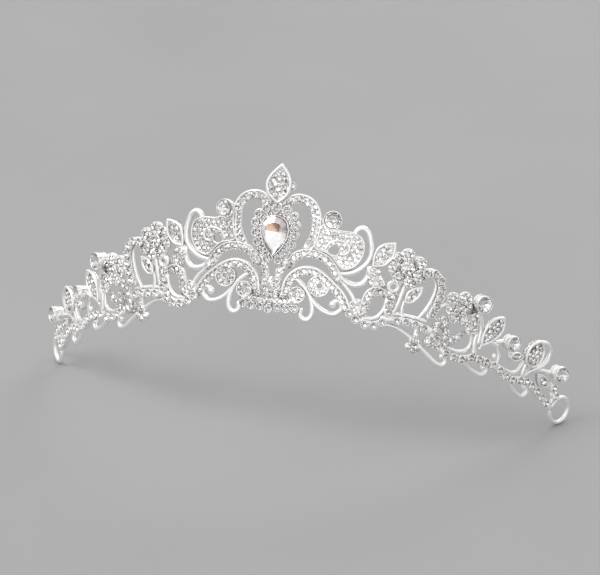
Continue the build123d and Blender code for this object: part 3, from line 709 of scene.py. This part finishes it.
def plated(tree, light, dark, smoothest, roughest, dent):
    """Bright silver plating, with painted shade that darkens its hollows."""
    cloud = ramp(tree, noise(tree, 260), (0.35, dark), (0.65, light))
    # Painted shade: ambient occlusion darkens the plating's colour in hollows and between parts
    hollow = add_node(tree, "AmbientOcclusion", Distance=0.8 * MM)
    hollow.samples = 4
    shade = ramp(tree, hollow.outputs["AO"], (0.15, (0.52, 0.51, 0.50)), (0.55, WHITE))
    rough = ramp(tree, noise(tree, 700), (0.3, (smoothest,) * 3), (0.7, (roughest,) * 3))
    bump = add_node(tree, "Bump", Strength=dent, Distance=0.05 * MM, Height=noise(tree, 1500, 2.0))
    return principled(tree, multiplied(tree, cloud, shade), rough, Metallic=0.85, Normal=bump.outputs[0])


def grained(tree, light, dark):
    """Cast front crowded with fine grains between the stones, with painted shade in the gaps between the
    grains.
    """
    cells = add_node(tree, "TexVoronoi", Vector=own_place(tree), Scale=1100)
    cells.feature = "DISTANCE_TO_EDGE"
    # Painted shade: the gaps between the grains are coloured darker
    gaps = ramp(tree, cells.outputs["Distance"], (0.03, dark), (0.16, light))
    cloud = ramp(tree, noise(tree, 1300, 1.0), (0.36, (0.66, 0.64, 0.63)), (0.50, WHITE))
    bump = add_node(tree, "Bump", Strength=0.7, Distance=0.15 * MM, Height=cells.outputs["Distance"])
    return principled(tree, multiplied(tree, gaps, cloud), 0.26, Metallic=1.0, Normal=bump.outputs[0])


def crystal(tree, tinted):
    """Cut glass, tinted a little differently from stone to stone."""
    tint = ramp(tree, noise(tree, 180, 1.0), (0.42, tinted), (0.58, WHITE))
    return add_node(tree, "BsdfGlass", Color=tint, Roughness=0.0, IOR=1.46)


def foil(tree, light, dark, rough):
    """Mirror backing of the stones."""
    tint = ramp(tree, noise(tree, 240, 1.0), (0.4, dark), (0.6, light))
    return principled(tree, tint, rough, Metallic=1.0)


def paved(tree, middle, dark):
    """Small foil-backed stones, each seen as bright facets, speckled dark and light at random as painted
    reflections of the surroundings.
    """
    # Painted reflections: dark and bright specks in the colour stand in for facets mirroring dark and bright
    # surroundings
    tint = ramp(tree, noise(tree, 1500, 1.0), (0.36, dark), (0.44, middle), (0.52, WHITE))
    return principled(tree, tint, 0.1, Metallic=0.9, Coat_Weight=0.6)


def card(tree):
    """Pale card with a faint mottle."""
    return principled(tree, ramp(tree, noise(tree, 9), (0.3, (0.35,) * 3), (0.7, (0.37,) * 3)), 0.8)


CRYSTAL = material("crystal", crystal, (0.98, 0.97, 0.965))
# Its darker colour is the painted reflection of dark surroundings in some facets
PAVED = material("paved_crystal", paved, (0.90, 0.885, 0.875), (0.50, 0.47, 0.45))

# Each slot's materials, in the order of the material numbers in the shapes
LOOKS = {
    "casting_metal": [
        material("cast_plating", plated, SILVER, (0.93, 0.925, 0.92), 0.28, 0.46, 0.3),
        material("grained_plating", grained, SILVER, (0.50, 0.49, 0.48)),
    ],
    "wire_metal": [
        material("wire_plating", plated, (1.0, 0.995, 0.99), (0.95, 0.945, 0.94), 0.30, 0.45, 0.15),
    ],
    "setting_metal": [material("setting_plating", plated, SILVER, (0.94, 0.935, 0.93), 0.16, 0.30, 0.15)],
    "crystal": [CRYSTAL, material("foil_back", foil, WHITE, (0.93, 0.92, 0.91), 0.14)],
    "pave_crystal": [PAVED, PAVED],
    "pear_crystal": [
        CRYSTAL,
        # Foils that paint a white glint, a brown reflection and a pink reflection onto chosen facets of the
        # pear stone
        material("white_glint_foil", foil, WHITE, (0.94, 0.97, 0.99), 0.3),
        material("brown_reflection_foil", foil, (0.50, 0.34, 0.27), (0.40, 0.27, 0.21), 0.2),
        material("pink_reflection_foil", foil, (0.95, 0.90, 0.90), (0.78, 0.70, 0.69), 0.1),
    ],
}


# ---- Castings ----


def pads(shape, places, radius, thick=0.0):
    """Round pads with softened edges and a grained disc on top."""
    top = FACE + thick
    edge = [(radius - 0.1, -FACE), (radius, 0.1 - FACE), (radius, top - 0.15), (radius - 0.15, top)]
    for spot in places:
        lathe(shape, spot, edge, 20)
        lathe(shape, spot, [(radius - 0.2, 0), (radius - 0.2, top + 0.03)], 20, GRAINY)


def wires(shape, diameter, *lines, lift=0.0):
    """Round wires along smooth curves."""
    for line in lines:
        sweep(shape, smooth(line), round_profile(diameter, lift), domed=True)


def beads(shape, spots, radius):
    """Round beads that end the vines and hooks."""
    for spot in spots:
        ball(shape, spot, 0.2, radius, rings=8, segments=12)


def grains(shape, places, radius, lift=GRAIN_LIFT):
    """Grains of metal that hold the stones."""
    for spot in places:
        ball(shape, spot, lift, radius, rings=4, segments=7)


def grains_between(shape, stones, lift=GRAIN_LIFT, radius=STONE):
    """Grains of metal beside the gaps between neighbouring stones."""
    spots = []
    for i, (a, u) in enumerate(stones):
        for b, v in stones[i + 1:]:
            gap = hypot(a - b, u - v)
            if gap < 2.7 * radius:
                left = ((u - v) / gap, (b - a) / gap)
                for side in (-0.75 * radius, 0.75 * radius):
                    spots.append(((a + b) / 2 + left[0] * side, (u + v) / 2 + left[1] * side))
    kept = []
    for along, up in spots:
        clear = all(hypot(along - a, up - u) > 0.92 * radius for a, u in stones)
        if clear and all(hypot(along - a, up - u) > 0.5 for a, u in kept):
            kept.append((along, up))
    grains(shape, kept, 0.22, lift)


def edge_grains(shape, line, side, pitch):
    """Grains along both edges of a strip, between the cups of its row."""
    places = halfway(row(line, side, pitch)) + halfway(row(line, -side, pitch))
    grains(shape, places, 0.3, FACE + 0.35)


def rimmed_strip(shape, points, width, rim):
    """Strip with a bright rim and a grained floor."""
    line = smooth(points)
    sweep(shape, line, strip_profile(width, rim))
    floor_line = line - sideways(line)[0] * rim / 2
    floor_profile = plain_profile(width - rim - 0.06, PAVE_FLOOR + 0.06, 0)
    sweep(shape, floor_line, floor_profile, mark=GRAINY)


def strip(shape, points, width, rim):
    """Strip with a bright rim and one row of stones beside it; gives the stones' places."""
    rimmed_strip(shape, points, width, rim)
    pitch = 1.92 * STRIP_STONE
    grains(shape, halfway(row(points, 0.26 - width / 2, pitch)), 0.3)
    grains(shape, halfway(row(points, width / 2 - rim, pitch)), 0.3)
    return row(points, -rim / 2, pitch)


def leaf_tray(shape, outline, floor=0.3, top=RIM, back=-FACE, rim=0.75):
    """Leaf with a raised rim round a recess for stones."""
    rimmed_plate(shape, leaf_loop(*outline), (), rim, top, floor, back)


def leaf_pair(name, outline, floor=0.3, top=RIM):
    """A leaf on each half, with grains between its stones; gives the stones' places."""
    shape = Shape()
    leaf_tray(shape, outline, floor, top)
    stones = filled(leaf_loop(*outline), 1.0, 1.46)
    grains_between(shape, stones, floor - 0.05)
    shape.make_pair(name)
    return stones


def circle(centre, radius, count=28):
    """Closed loop round a centre."""
    return np.array(ring_of(centre, radius, count))


def mirrored(places):
    """Places on both halves, without a second copy of one on the middle line."""
    return places + [(-along, up) for along, up in places if along > 0]


def blossom(shape, lobes, radius):
    """Round lobes, each with a stone in a ring of six; gives the stones' places."""
    places = []
    for lobe in lobes:
        pads(shape, [lobe], radius)
        grains(shape, ring_of(lobe, radius - 0.2, 10), 0.26)
        places += [lobe] + ring_of(lobe, 1.26, 6)
    return places


MIDDLE_SET = mirrored(HALO + BASE_ROW)
# Cups, as (along, up, radius), which the small stones keep clear of
taken = [(a, u, ROW_CUP) for a, u in HALO + BASE_ROW + ROWS]
taken += [(a, u, size) for (a, u), size in (TALL_LEFT | TALL_BOTH).items()]

# Middle
middle = Shape()
plate(middle, smooth(INSIDE_HALO, closed=True), [], FACE, mark=GRAINY)
pads(middle, mirrored(HALO), 1.4)
pads(middle, mirrored(BASE_ROW), 1.1)
middle_small = [(0, 3), (0, 4.4), (0, 5.8), (0, 7.2)]
for side in (1, -1):
    stem = [(side * along, up) for along, up in STEM]
    base = [(side * along, up) for along, up in BASE]
    flat(middle, stem, 2.3, GRAINY)
    flat(middle, base, 1.8, GRAINY)
    middle_small += row(stem)
    pads(middle, [(side * 3.5, 4.0)], 1.9)
flat(middle, [(0, 7), (0, 4.4), (0, 1.8)], 3.0, GRAINY)
flat(middle, [(0, 27), (0, 30), (0, 33)], 3.0, GRAINY)
loose_small = [(3.3, 3.6), (4.3, 4.9), (2.9, 5), (3.3, 28), (1.6, 28.6), (2.2, 12.6), (2.8, 14.6)]
middle_small += mirrored(loose_small)
base_small = [(a, u + 0.4) for a, u in row(BASE, start=0.4)]
middle_small += base_small + [(-a, u) for a, u in base_small]
middle_small = spaced(middle_small, [(a, u, ROW_CUP) for a, u in MIDDLE_SET])
grains_between(middle, middle_small)
grains(middle, mirrored([(0.93 * a, u) for a, u in halfway(HALO)]), 0.4, FACE + 0.3)
middle.make("middle_frame")

crest_leaf = Shape()
leaf_tray(crest_leaf, CREST, 1.35, 2.1, FACE, 0.85)
crest_small = filled(leaf_loop(*CREST), 1.15, 1.6)
grains_between(crest_leaf, crest_small, 1.4, LEAF_STONE)
crest_leaf.make("crest_tray")

heart = Shape()
rimmed_strip(heart, HEART, 2.6, 0.6)
heart_small = row(HEART, -0.74, 1.3, 0.5) + row(HEART, 0.4, 1.3, 1.15)
heart_small = spaced(heart_small, taken, HEART_STONE)
grains_between(heart, heart_small, radius=HEART_STONE)
heart.make_pair("heart_arch")

scroll = Shape()
strip_small = strip(scroll, UPPER, 2.4, 0.4) + strip(scroll, SCROLL, 2.6, 0.8)
strip_small = spaced(strip_small, taken, STRIP_STONE)
rimmed_plate(scroll, circle(SCROLL_DISC, 2.9), [circle((12.8, 7.6), 0.7, 16)], 0.3)
rimmed_plate(scroll, circle(SMALL_DISC, 2.2), [circle((6.2, 4), 0.75, 16)], 0.3)
strip_taken = [(a, u, STRIP_STONE) for a, u in strip_small]
scroll_small = spaced(ring_of(SCROLL_DISC, 1.85, 8) + ring_of(SMALL_DISC, 1.45, 6), taken + strip_taken)
grains(scroll, ring_of(SCROLL_DISC, 2.7, 14) + ring_of(SMALL_DISC, 2.05, 11), 0.28)
grains_between(scroll, scroll_small)
scroll.make_pair("scroll_frame")

fan = Shape()
fan_loop = turned_left(smooth(FAN, closed=True))
fan_holes = [smooth(FAN_GAP, closed=True), circle((17.7, 18.8), 0.45, 14), circle((19.2, 16.9), 0.5, 14)]
rimmed_plate(fan, fan_loop, fan_holes, 0.45)
# Round the holes, as (along, up, radius), which the fan's stones keep clear of
fan_taken = [(17.7, 18.8, 0.1), (19.2, 16.9, 0.1), (15.2, 18.0, 0.7)]
fan_small = spaced([(17.2, 16.9)] + filled(fan_loop, 0.72, 1.38), taken + fan_taken)
grains_between(fan, fan_small)
wires(fan, 0.75, FAN_CURL, lift=0.75)
fan.make_pair("fan_frame")

curl = Shape()
wires(curl, 1.45, CURL, [(19.2, 1.9), (19.2, 3.5), (18, 4.3), (16.9, 3.3)], HOOK)
ball(curl, (16.9, 3.2), 0, 1.05, rings=8, segments=14)
curl.make_pair("curl_wires", "wire_metal")

loops = Shape()
wires(loops, 1.6, FAN_LOOP, [(24.5, 14.4), (24.5, 12), (23.3, 9.9), (21.2, 9.3), (19.4, 9.8), (17.4, 11.1)])
wires(loops, 1.15, [(17.2, 10.3), (19.6, 8.4), (21.6, 6.2), (22.8, 4.2)])
loops.make_pair("loop_wires", "wire_metal")

# Horseshoe, flower and outer arch
first_small = leaf_pair("leaf_one_tray", LEAF_ONE)

horseshoe = Shape()
arm_small = spaced(strip(horseshoe, HORSESHOE, 2.5, 0.4), taken, STRIP_STONE)
flat(horseshoe, PATCH, 4.2, GRAINY)
rimmed_plate(horseshoe, circle(FOOT_DISC, 2.3), rim=0.3)
wires(horseshoe, 1.1, [(30.4, 8.4), (30.6, 5.4), (30, 3.2), (28.9, 1.8), (27.2, 1.1), (25.4, 1)])
flat(horseshoe, [(21.2, 2.2), (23.2, 0.8), (26.1, 0), (28.5, 0), (30.8, 1.2)], 1.5, front=0.45)
pads(horseshoe, FESTOON, 1.1)
horseshoe_small = [FOOT_DISC] + ring_of(FOOT_DISC, 1.42, 6)
for side in (-1.4, 0, 1.4):
    horseshoe_small += row(PATCH, side, start=0.0 if side else 0.6)
horseshoe_small = spaced(horseshoe_small, taken + [(a, u, STRIP_STONE) for a, u in arm_small])
grains_between(horseshoe, horseshoe_small)
horseshoe.make_pair("horseshoe_frame")

flower = Shape()
pads(flower, [FLOWER], 3.5, -0.05)
flower_small = [FLOWER] + ring_of(FLOWER, 1.3, 6) + blossom(flower, PETALS, 1.9)
flower_small = spaced(flower_small, taken, CLOSE_STONE)
grains_between(flower, flower_small)
flower.make_pair("flower_frame")

stem_leaf = Shape()
leaf_tray(stem_leaf, STEM_LEAF)
stem_leaf_small = [(36.3, 8.8), (37.6, 9.3), (37.2, 10.6), (38.4, 11.2)]
stem_leaf.make_pair("stem_leaf_tray")

stems = Shape()
rimmed_plate(stems, circle((31.5, 10.9), 1.75), [circle((31.5, 10.9), 0.75, 16)], 0.8, 0.8)
pads(stems, [(31.7, 8.4)], 1.6)
pads(stems, STEM_ROW, 1.3)
wires(stems, 1.4, [(32.9, 3.4), (33.8, 6.6), (34.2, 9.6), (34.5, 12.4)])
wires(stems, 1.1, [(35.7, 3.6), (35.2, 6.2), (35.7, 8.2)])
stems.make_pair("stem_frame")
stem_small = [(31.2, 8.9), (32.2, 8)]

arch = Shape()
flat(arch, ARCH, 2.1)
wires(arch, 1.0, [(40.3, 3.8), (41.7, 6.9), (42.6, 10.2), (42.7, 12.9), (42, 14.8), (40.4, 15.7)])
edge_grains(arch, ARCH, 0.85, 2.3)
arch.make_pair("arch_frame")

inner_band = Shape()
flat(inner_band, [(31, 1.8), (33.2, 2), (37, 2.3), (40.2, 2.1), (43, 1.6), (44.6, 1)], 2.2)
wires(inner_band, 1.0, [(32.4, 3.5), (35, 3.8), (40.2, 3.8), (42.6, 3.6)])
wires(inner_band, 1.1, [(31, 0.2), (34, 0.3), (37, -0.6), (39.6, -1.8), (42.6, -3.5)])
flat(inner_band, [(40.7, 1), (40.9, -1.4), (40.8, -4)], 1.5)
pads(inner_band, [(40.8, -2.4)], 1.4)
trefoil = [(39.6, -4.1), (40.9, -4.9), (42.1, -4.1)]
pads(inner_band, trefoil, 1.0)
inner_small = [(40.8, -0.4), (40.2, -1.9), (41.5, -2.3)] + trefoil
grains_between(inner_band, inner_small)
inner_band.make_pair("inner_band")

# Second cluster
cluster = Shape()
pads(cluster, [(56.2, 12.4)], 2.4)
pads(cluster, [(53.3, 9.4)], 2.6, -0.05)
cluster_small = blossom(cluster, LOBES, 1.85) + [(53.3, 9), (53.6, 10.6), (52.4, 8), (54.9, 9.6)]
cluster_small = spaced(cluster_small, taken, CLOSE_STONE)
plate(cluster, smooth(RIBBON, closed=True), [circle((47.4, 1.8), 0.9, 18)], FACE, mark=GRAINY)
grains_between(cluster, cluster_small)
grains_between(cluster, RIBBON_STONES, radius=RIBBON_STONE)
wires(cluster, 1.1, [(45, 8), (46.2, 8.9), (47.6, 10)], CLUSTER_WIRE)
wires(cluster, 1.6, [(56.7, 9.8), (58.2, 7.6), (59.2, 5), (59.6, 1.8)])
wires(cluster, 1.8, [(58.2, 3.4), (58.6, 1.2), (59.4, -1)])
cluster.make_pair("cluster_frame")

second_small = leaf_pair("leaf_two_tray", LEAF_TWO)

middle_band = Shape()
flat(middle_band, MIDDLE_LINE, 1.7)
edge_grains(middle_band, MIDDLE_LINE, 0.8, 2.6)
middle_band.make_pair("middle_band")

vine = Shape()
wires(vine, 1.3, [(60.6, 0.4), (62, 2), (64.2, 2.8), (66.2, 2.4), (67.6, 0.8), (68.2, -2.6)])
wires(vine, 1.3, [(65.2, 3.2), (67.4, 4.2), (69.4, 4.7)])
beads(vine, [(66.3, -0.4)], 0.75)
wires(vine, 0.9, [(66.3, -0.4), (67.2, -0.9), (68, -1.6)])
pads(vine, [(69.4, 4.7)], 2.1)
vine.make_pair("vine_wires", "wire_metal")

# End
end_band = Shape()
flat(end_band, END_LINE, 1.7)
wires(end_band, 1.3, [(90.6, -2.6), (92.4, -4.6), (93.2, -7.4)])
pads(end_band, [(90.9, -3.3), (92.9, -5.3)], 1.15)
edge_grains(end_band, END_LINE, 0.8, 2.7)
end_band.make_pair("end_band")

third_small = leaf_pair("leaf_three_tray", LEAF_THREE, 0.8, 1.5)

small_leaves = Shape()
leaf_tray(small_leaves, TWIG_LEAF, rim=0.55)
leaf_tray(small_leaves, END_LEAF, rim=0.55)
small_leaf_small = [(72.6, 1.2), (73.9, 1.5), (75.2, 1.8), (84.9, -1.9), (86.2, -2.4), (87.5, -2.9)]
small_leaves.make_pair("small_leaf_trays")

twigs = Shape()
wires(twigs, 1.4, LEAF_LOOP)
wires(twigs, 1.3, [(81.4, -0.8), (84.4, 0.1), (88, 0.4), (90.6, 1.1)])
pads(twigs, [(90.6, 1.1)], 2.2)
wires(twigs, 1.1, [(68.4, -2.6), (71, -2.9), (74.2, -3.2), (76.2, -2.4), (77, -0.6), (77.5, 1.2)])
wires(twigs, 1.6, [(78.4, 0.2), (78.5, -1.8), (79.4, -3.4)])
wires(twigs, 1.1, [(70.4, 3.2), (71.6, 1)])
wires(twigs, 1.2, [(88.6, -2.8), (90.8, -3)], [(92.9, -5.1), (94.6, -5.4)])
twigs.make_pair("twig_wires", "wire_metal")

hooks = Shape()
wires(hooks, 1.4, *HOOKS)
beads(hooks, HOOK_BEADS, 0.8)
hooks.make_pair("hook_wires", "wire_metal")

# End rings, which turn in further than the ends they are cast on
RING_OUTER = 4.4
RING_WIRE = 1.3
RING_START = (93.3, -8.8)
RING_TURN = radians(8)
RING_SIDES = 14
along_axis, up_axis, out_axis = axes(RING_START[0])
ring_axes = np.array([
    cos(RING_TURN) * along_axis - sin(RING_TURN) * out_axis,
    up_axis,
    sin(RING_TURN) * along_axis + cos(RING_TURN) * out_axis,
])
ring_centre = place([(*RING_START, 0)])[0] + ring_axes[0] * RING_OUTER * MM
ring_points = []
for angle in around(64):
    for side, lift in round_profile(RING_WIRE, 0.0, RING_SIDES):
        reach = RING_OUTER - RING_WIRE / 2 + side
        local = np.array([reach * cos(angle), reach * sin(angle), lift])
        ring_points.append(ring_centre + local @ ring_axes * MM)
ring = Shape()
ring.add(ring_points, tube_faces(len(ring_points) // RING_SIDES, RING_SIDES, True))
ring.make_pair("end_ring", "wire_metal")


# ---- Cups, collar and stones ----

ROW_SETTING = (ROW_CUP - 0.2, FACE + ROW_HEIGHT - 0.1, ROUND_CUT, 0.03)  # radius, lift, cut and tilt


def row_cups(spots):
    """Clawed cups of the rows."""
    cups = Shape()
    for spot in spots:
        cup(cups, spot, ROW_CUP, ROW_HEIGHT, claws=4)
    return cups


def set_half(name, tall, on_right):
    """Tall cups and all set stones of one half."""
    cups = Shape()
    stones = Shape()
    for spot, radius in (tall | TALL_BOTH).items():
        cup(cups, spot, radius, TALL_HEIGHT)
        set_stones(stones, [spot], radius - 0.42, FACE + TALL_HEIGHT - 0.12, LARGE_CUT, 0.02)
    cups.make("tall_cups_" + name, "setting_metal", on_right)
    set_stones(stones, ROWS, *ROW_SETTING)
    stones.make("set_stones_" + name, "crystal", on_right)


middle_stones = Shape()
set_stones(middle_stones, MIDDLE_SET, *ROW_SETTING)
row_cups(MIDDLE_SET).make("middle_cups", "setting_metal")
middle_stones.make("middle_stones", "crystal")
row_cups(ROWS).make_pair("row_cups", "setting_metal")
set_half("left", TALL_LEFT, False)
set_half("right", TALL_RIGHT, True)

crest_cup = Shape()
cup(crest_cup, CREST_CUP, 1.25, 1.1, base=-FACE)
lathe(crest_cup, CREST_CUP, [(1, -0.5), (1, 0.1), (0.9, 0.2)], 20)
crest_cup.make("crest_cup", "setting_metal")

# Small stones: places, radius and lift
CASTING_SMALL = scroll_small + fan_small + horseshoe_small + flower_small + stem_small + inner_small
SIDE_SMALL = [
    (heart_small, HEART_STONE, SEAT),
    (CASTING_SMALL + cluster_small, STONE, SEAT),
    (strip_small + arm_small, STRIP_STONE, SEAT),
    (RIBBON_STONES, RIBBON_STONE, SEAT),
    (first_small + stem_leaf_small + second_small + small_leaf_small, LEAF_STONE, 0.66),
    (third_small, LEAF_STONE, 1.16),
]
side_stones = Shape()
for spots, radius, lift in SIDE_SMALL:
    set_stones(side_stones, spots, radius, lift, CHIP_CUT, 0.1)
side_stones.make_pair("small_stones", "pave_crystal")

middle_chips = Shape()
for spots, radius, lift in ((middle_small, STONE, SEAT), (crest_small, CREST_STONE, 1.6)):
    set_stones(middle_chips, spots, radius, lift, CHIP_CUT, 0.1)
middle_chips.make("middle_small_stones", "pave_crystal")


def pear_loop(count):
    """Evenly spaced points round the pear stone's edge."""
    side = smooth(PEAR_SIDE, step=FINE_STEP)
    loop = turned_left(np.vstack([side, side[::-1][1:-1] * (-1, 1)]))
    return evened(np.vstack([loop, loop[:1]]), count, with_end=False)


collar = Shape()
pear_edge = pear_loop(72)
wall = [(0, 0.98), (-0.1, 1.1), (-0.28, 1.1), (-0.38, 0.95), (-0.38, 0), (0, 0)]
sweep(collar, pear_edge, [(side, FACE + lift) for side, lift in wall], closed=True)
plate(collar, pear_edge, [], FACE + 0.3, FACE)
for spot in inset(pear_edge, -0.12)[::12]:
    ball(collar, spot, FACE + 1.25, 0.32)
for spot in inset(pear_loop(28), -0.74):
    ball(collar, spot, FACE + 0.35, 0.4)
collar.make("pear_collar", "setting_metal")

# The pear stone: a girdle, a table, and foiled facets underneath that meet off its middle; foils paint a
# white glint and brown and pink reflections on chosen facets
CLEAR, PAINTED_WHITE_GLINT, PAINTED_BROWN_REFLECTION, PAINTED_PINK_REFLECTION = range(4)
PEAR_MIDDLE = np.array([0, 20.0])
PEAR_FOOT = (1, 20.6)
girdle = inset(pear_loop(14), 0.05)
table = PEAR_MIDDLE + (girdle - PEAR_MIDDLE) * 0.68
levels = [raised(girdle, FACE + 0.9), raised(girdle, FACE + 1.15), raised(table, FACE + 2.0)]
count = len(girdle)
pear_points = place(np.vstack(levels + [[(*PEAR_FOOT, FACE + 0.4)]]))
pear_faces = [tuple(range(2 * count, 3 * count))]
pear_marks = [CLEAR]
for j in range(count):
    k = (j + 1) % count
    side, rise = (girdle[j] + girdle[k]) / 2 - PEAR_FOOT
    heading = degrees(atan2(rise, side)) % 360
    for i in range(2):
        pear_faces.append((i * count + j, i * count + k, (i + 1) * count + k, (i + 1) * count + j))
    pear_faces.append((j, 3 * count, k))
    # Painted reflections: each facet's mark picks white, brown or pink foil by the way the facet faces
    crown = PAINTED_PINK_REFLECTION if 50 < heading < 120 else PAINTED_WHITE_GLINT if 120 < heading < 200 else CLEAR
    pavilion = PAINTED_BROWN_REFLECTION if 80 < heading < 185 else PAINTED_WHITE_GLINT if 185 < heading < 285 else PAINTED_PINK_REFLECTION
    pear_marks += [CLEAR, crown, pavilion]
pear = Shape()
pear.add(pear_points, pear_faces, pear_marks, False)
pear.make("pear_stone", "pear_crystal")


# ---- Floor, light and camera, in metres ----

FLOOR_REACH = 3.0
floor_mesh = bpy.data.meshes.new("floor")
corners = [(FLOOR_REACH * x, FLOOR_REACH * y, cad_low[2]) for x, y in ((-1, -1), (1, -1), (1, 1), (-1, 1))]
floor_mesh.from_pydata(corners, [], [(0, 1, 2, 3)])
floor_mesh.materials.append(material("pale_card", card))
floor = new_object("floor", floor_mesh)


def lamp(name, where, size, watts, colour):
    """Soft square lamp aimed at the tiara."""
    data = bpy.data.lights.new(name, "AREA")
    data.size = size
    data.energy = watts
    data.color = colour
    light = new_object(name, data)
    light.location = where
    light.rotation_euler = (-Vector(where)).to_track_quat("-Z", "Y").to_euler()


lamp("key_lamp", (-0.45, -0.35, 0.80), 0.35, 2.6, (1.0, 0.99, 0.97))
lamp("front_lamp", (0.10, -0.95, 0.04), 0.5, 1.1, WHITE)
lamp("back_lamp", (0.25, 0.70, 0.55), 0.4, 1.2, WHITE)

# A bright soft room with a few darker and warmer patches, for the stones to pick up
world = bpy.data.worlds.new("studio")
world.use_nodes = True
sky = world.node_tree
sky.nodes.clear()
direction = sky.nodes.new("ShaderNodeTexCoord").outputs["Generated"]
height = add_node(sky, "SeparateXYZ", Vector=direction).outputs["Z"]
tone = ramp(sky, height, (0.0, (0.62, 0.62, 0.62)), (0.35, WHITE), (0.9, (0.80, 0.80, 0.81)))
patch = add_node(sky, "TexNoise", Vector=direction, Scale=2.2, Detail=1.0).outputs["Fac"]
patches = ramp(sky, patch, (0.31, (0.20, 0.18, 0.17)), (0.39, (0.88, 0.87, 0.86)), (0.58, (1.15, 1.15, 1.15)))
background = add_node(sky, "Background", Color=multiplied(sky, tone, patches), Strength=1.0)
sky_output = sky.nodes.new("ShaderNodeOutputWorld")
sky.links.new(background.outputs[0], sky_output.inputs["Surface"])
bpy.context.scene.world = world

camera_data = bpy.data.cameras.new("camera")
camera_data.lens = 132.0
camera_data.sensor_width = 36.0
camera_data.clip_start = 0.01
camera = new_object("camera", camera_data)
camera.location = (0.1408, -0.5130, 0.2647)
toward = Vector((0.0048, 0.0147, -0.0004)) - camera.location
camera.rotation_euler = toward.to_track_quat("-Z", "Y").to_euler()
bpy.context.scene.camera = camera
bpy.context.scene.view_settings.view_transform = "Standard"
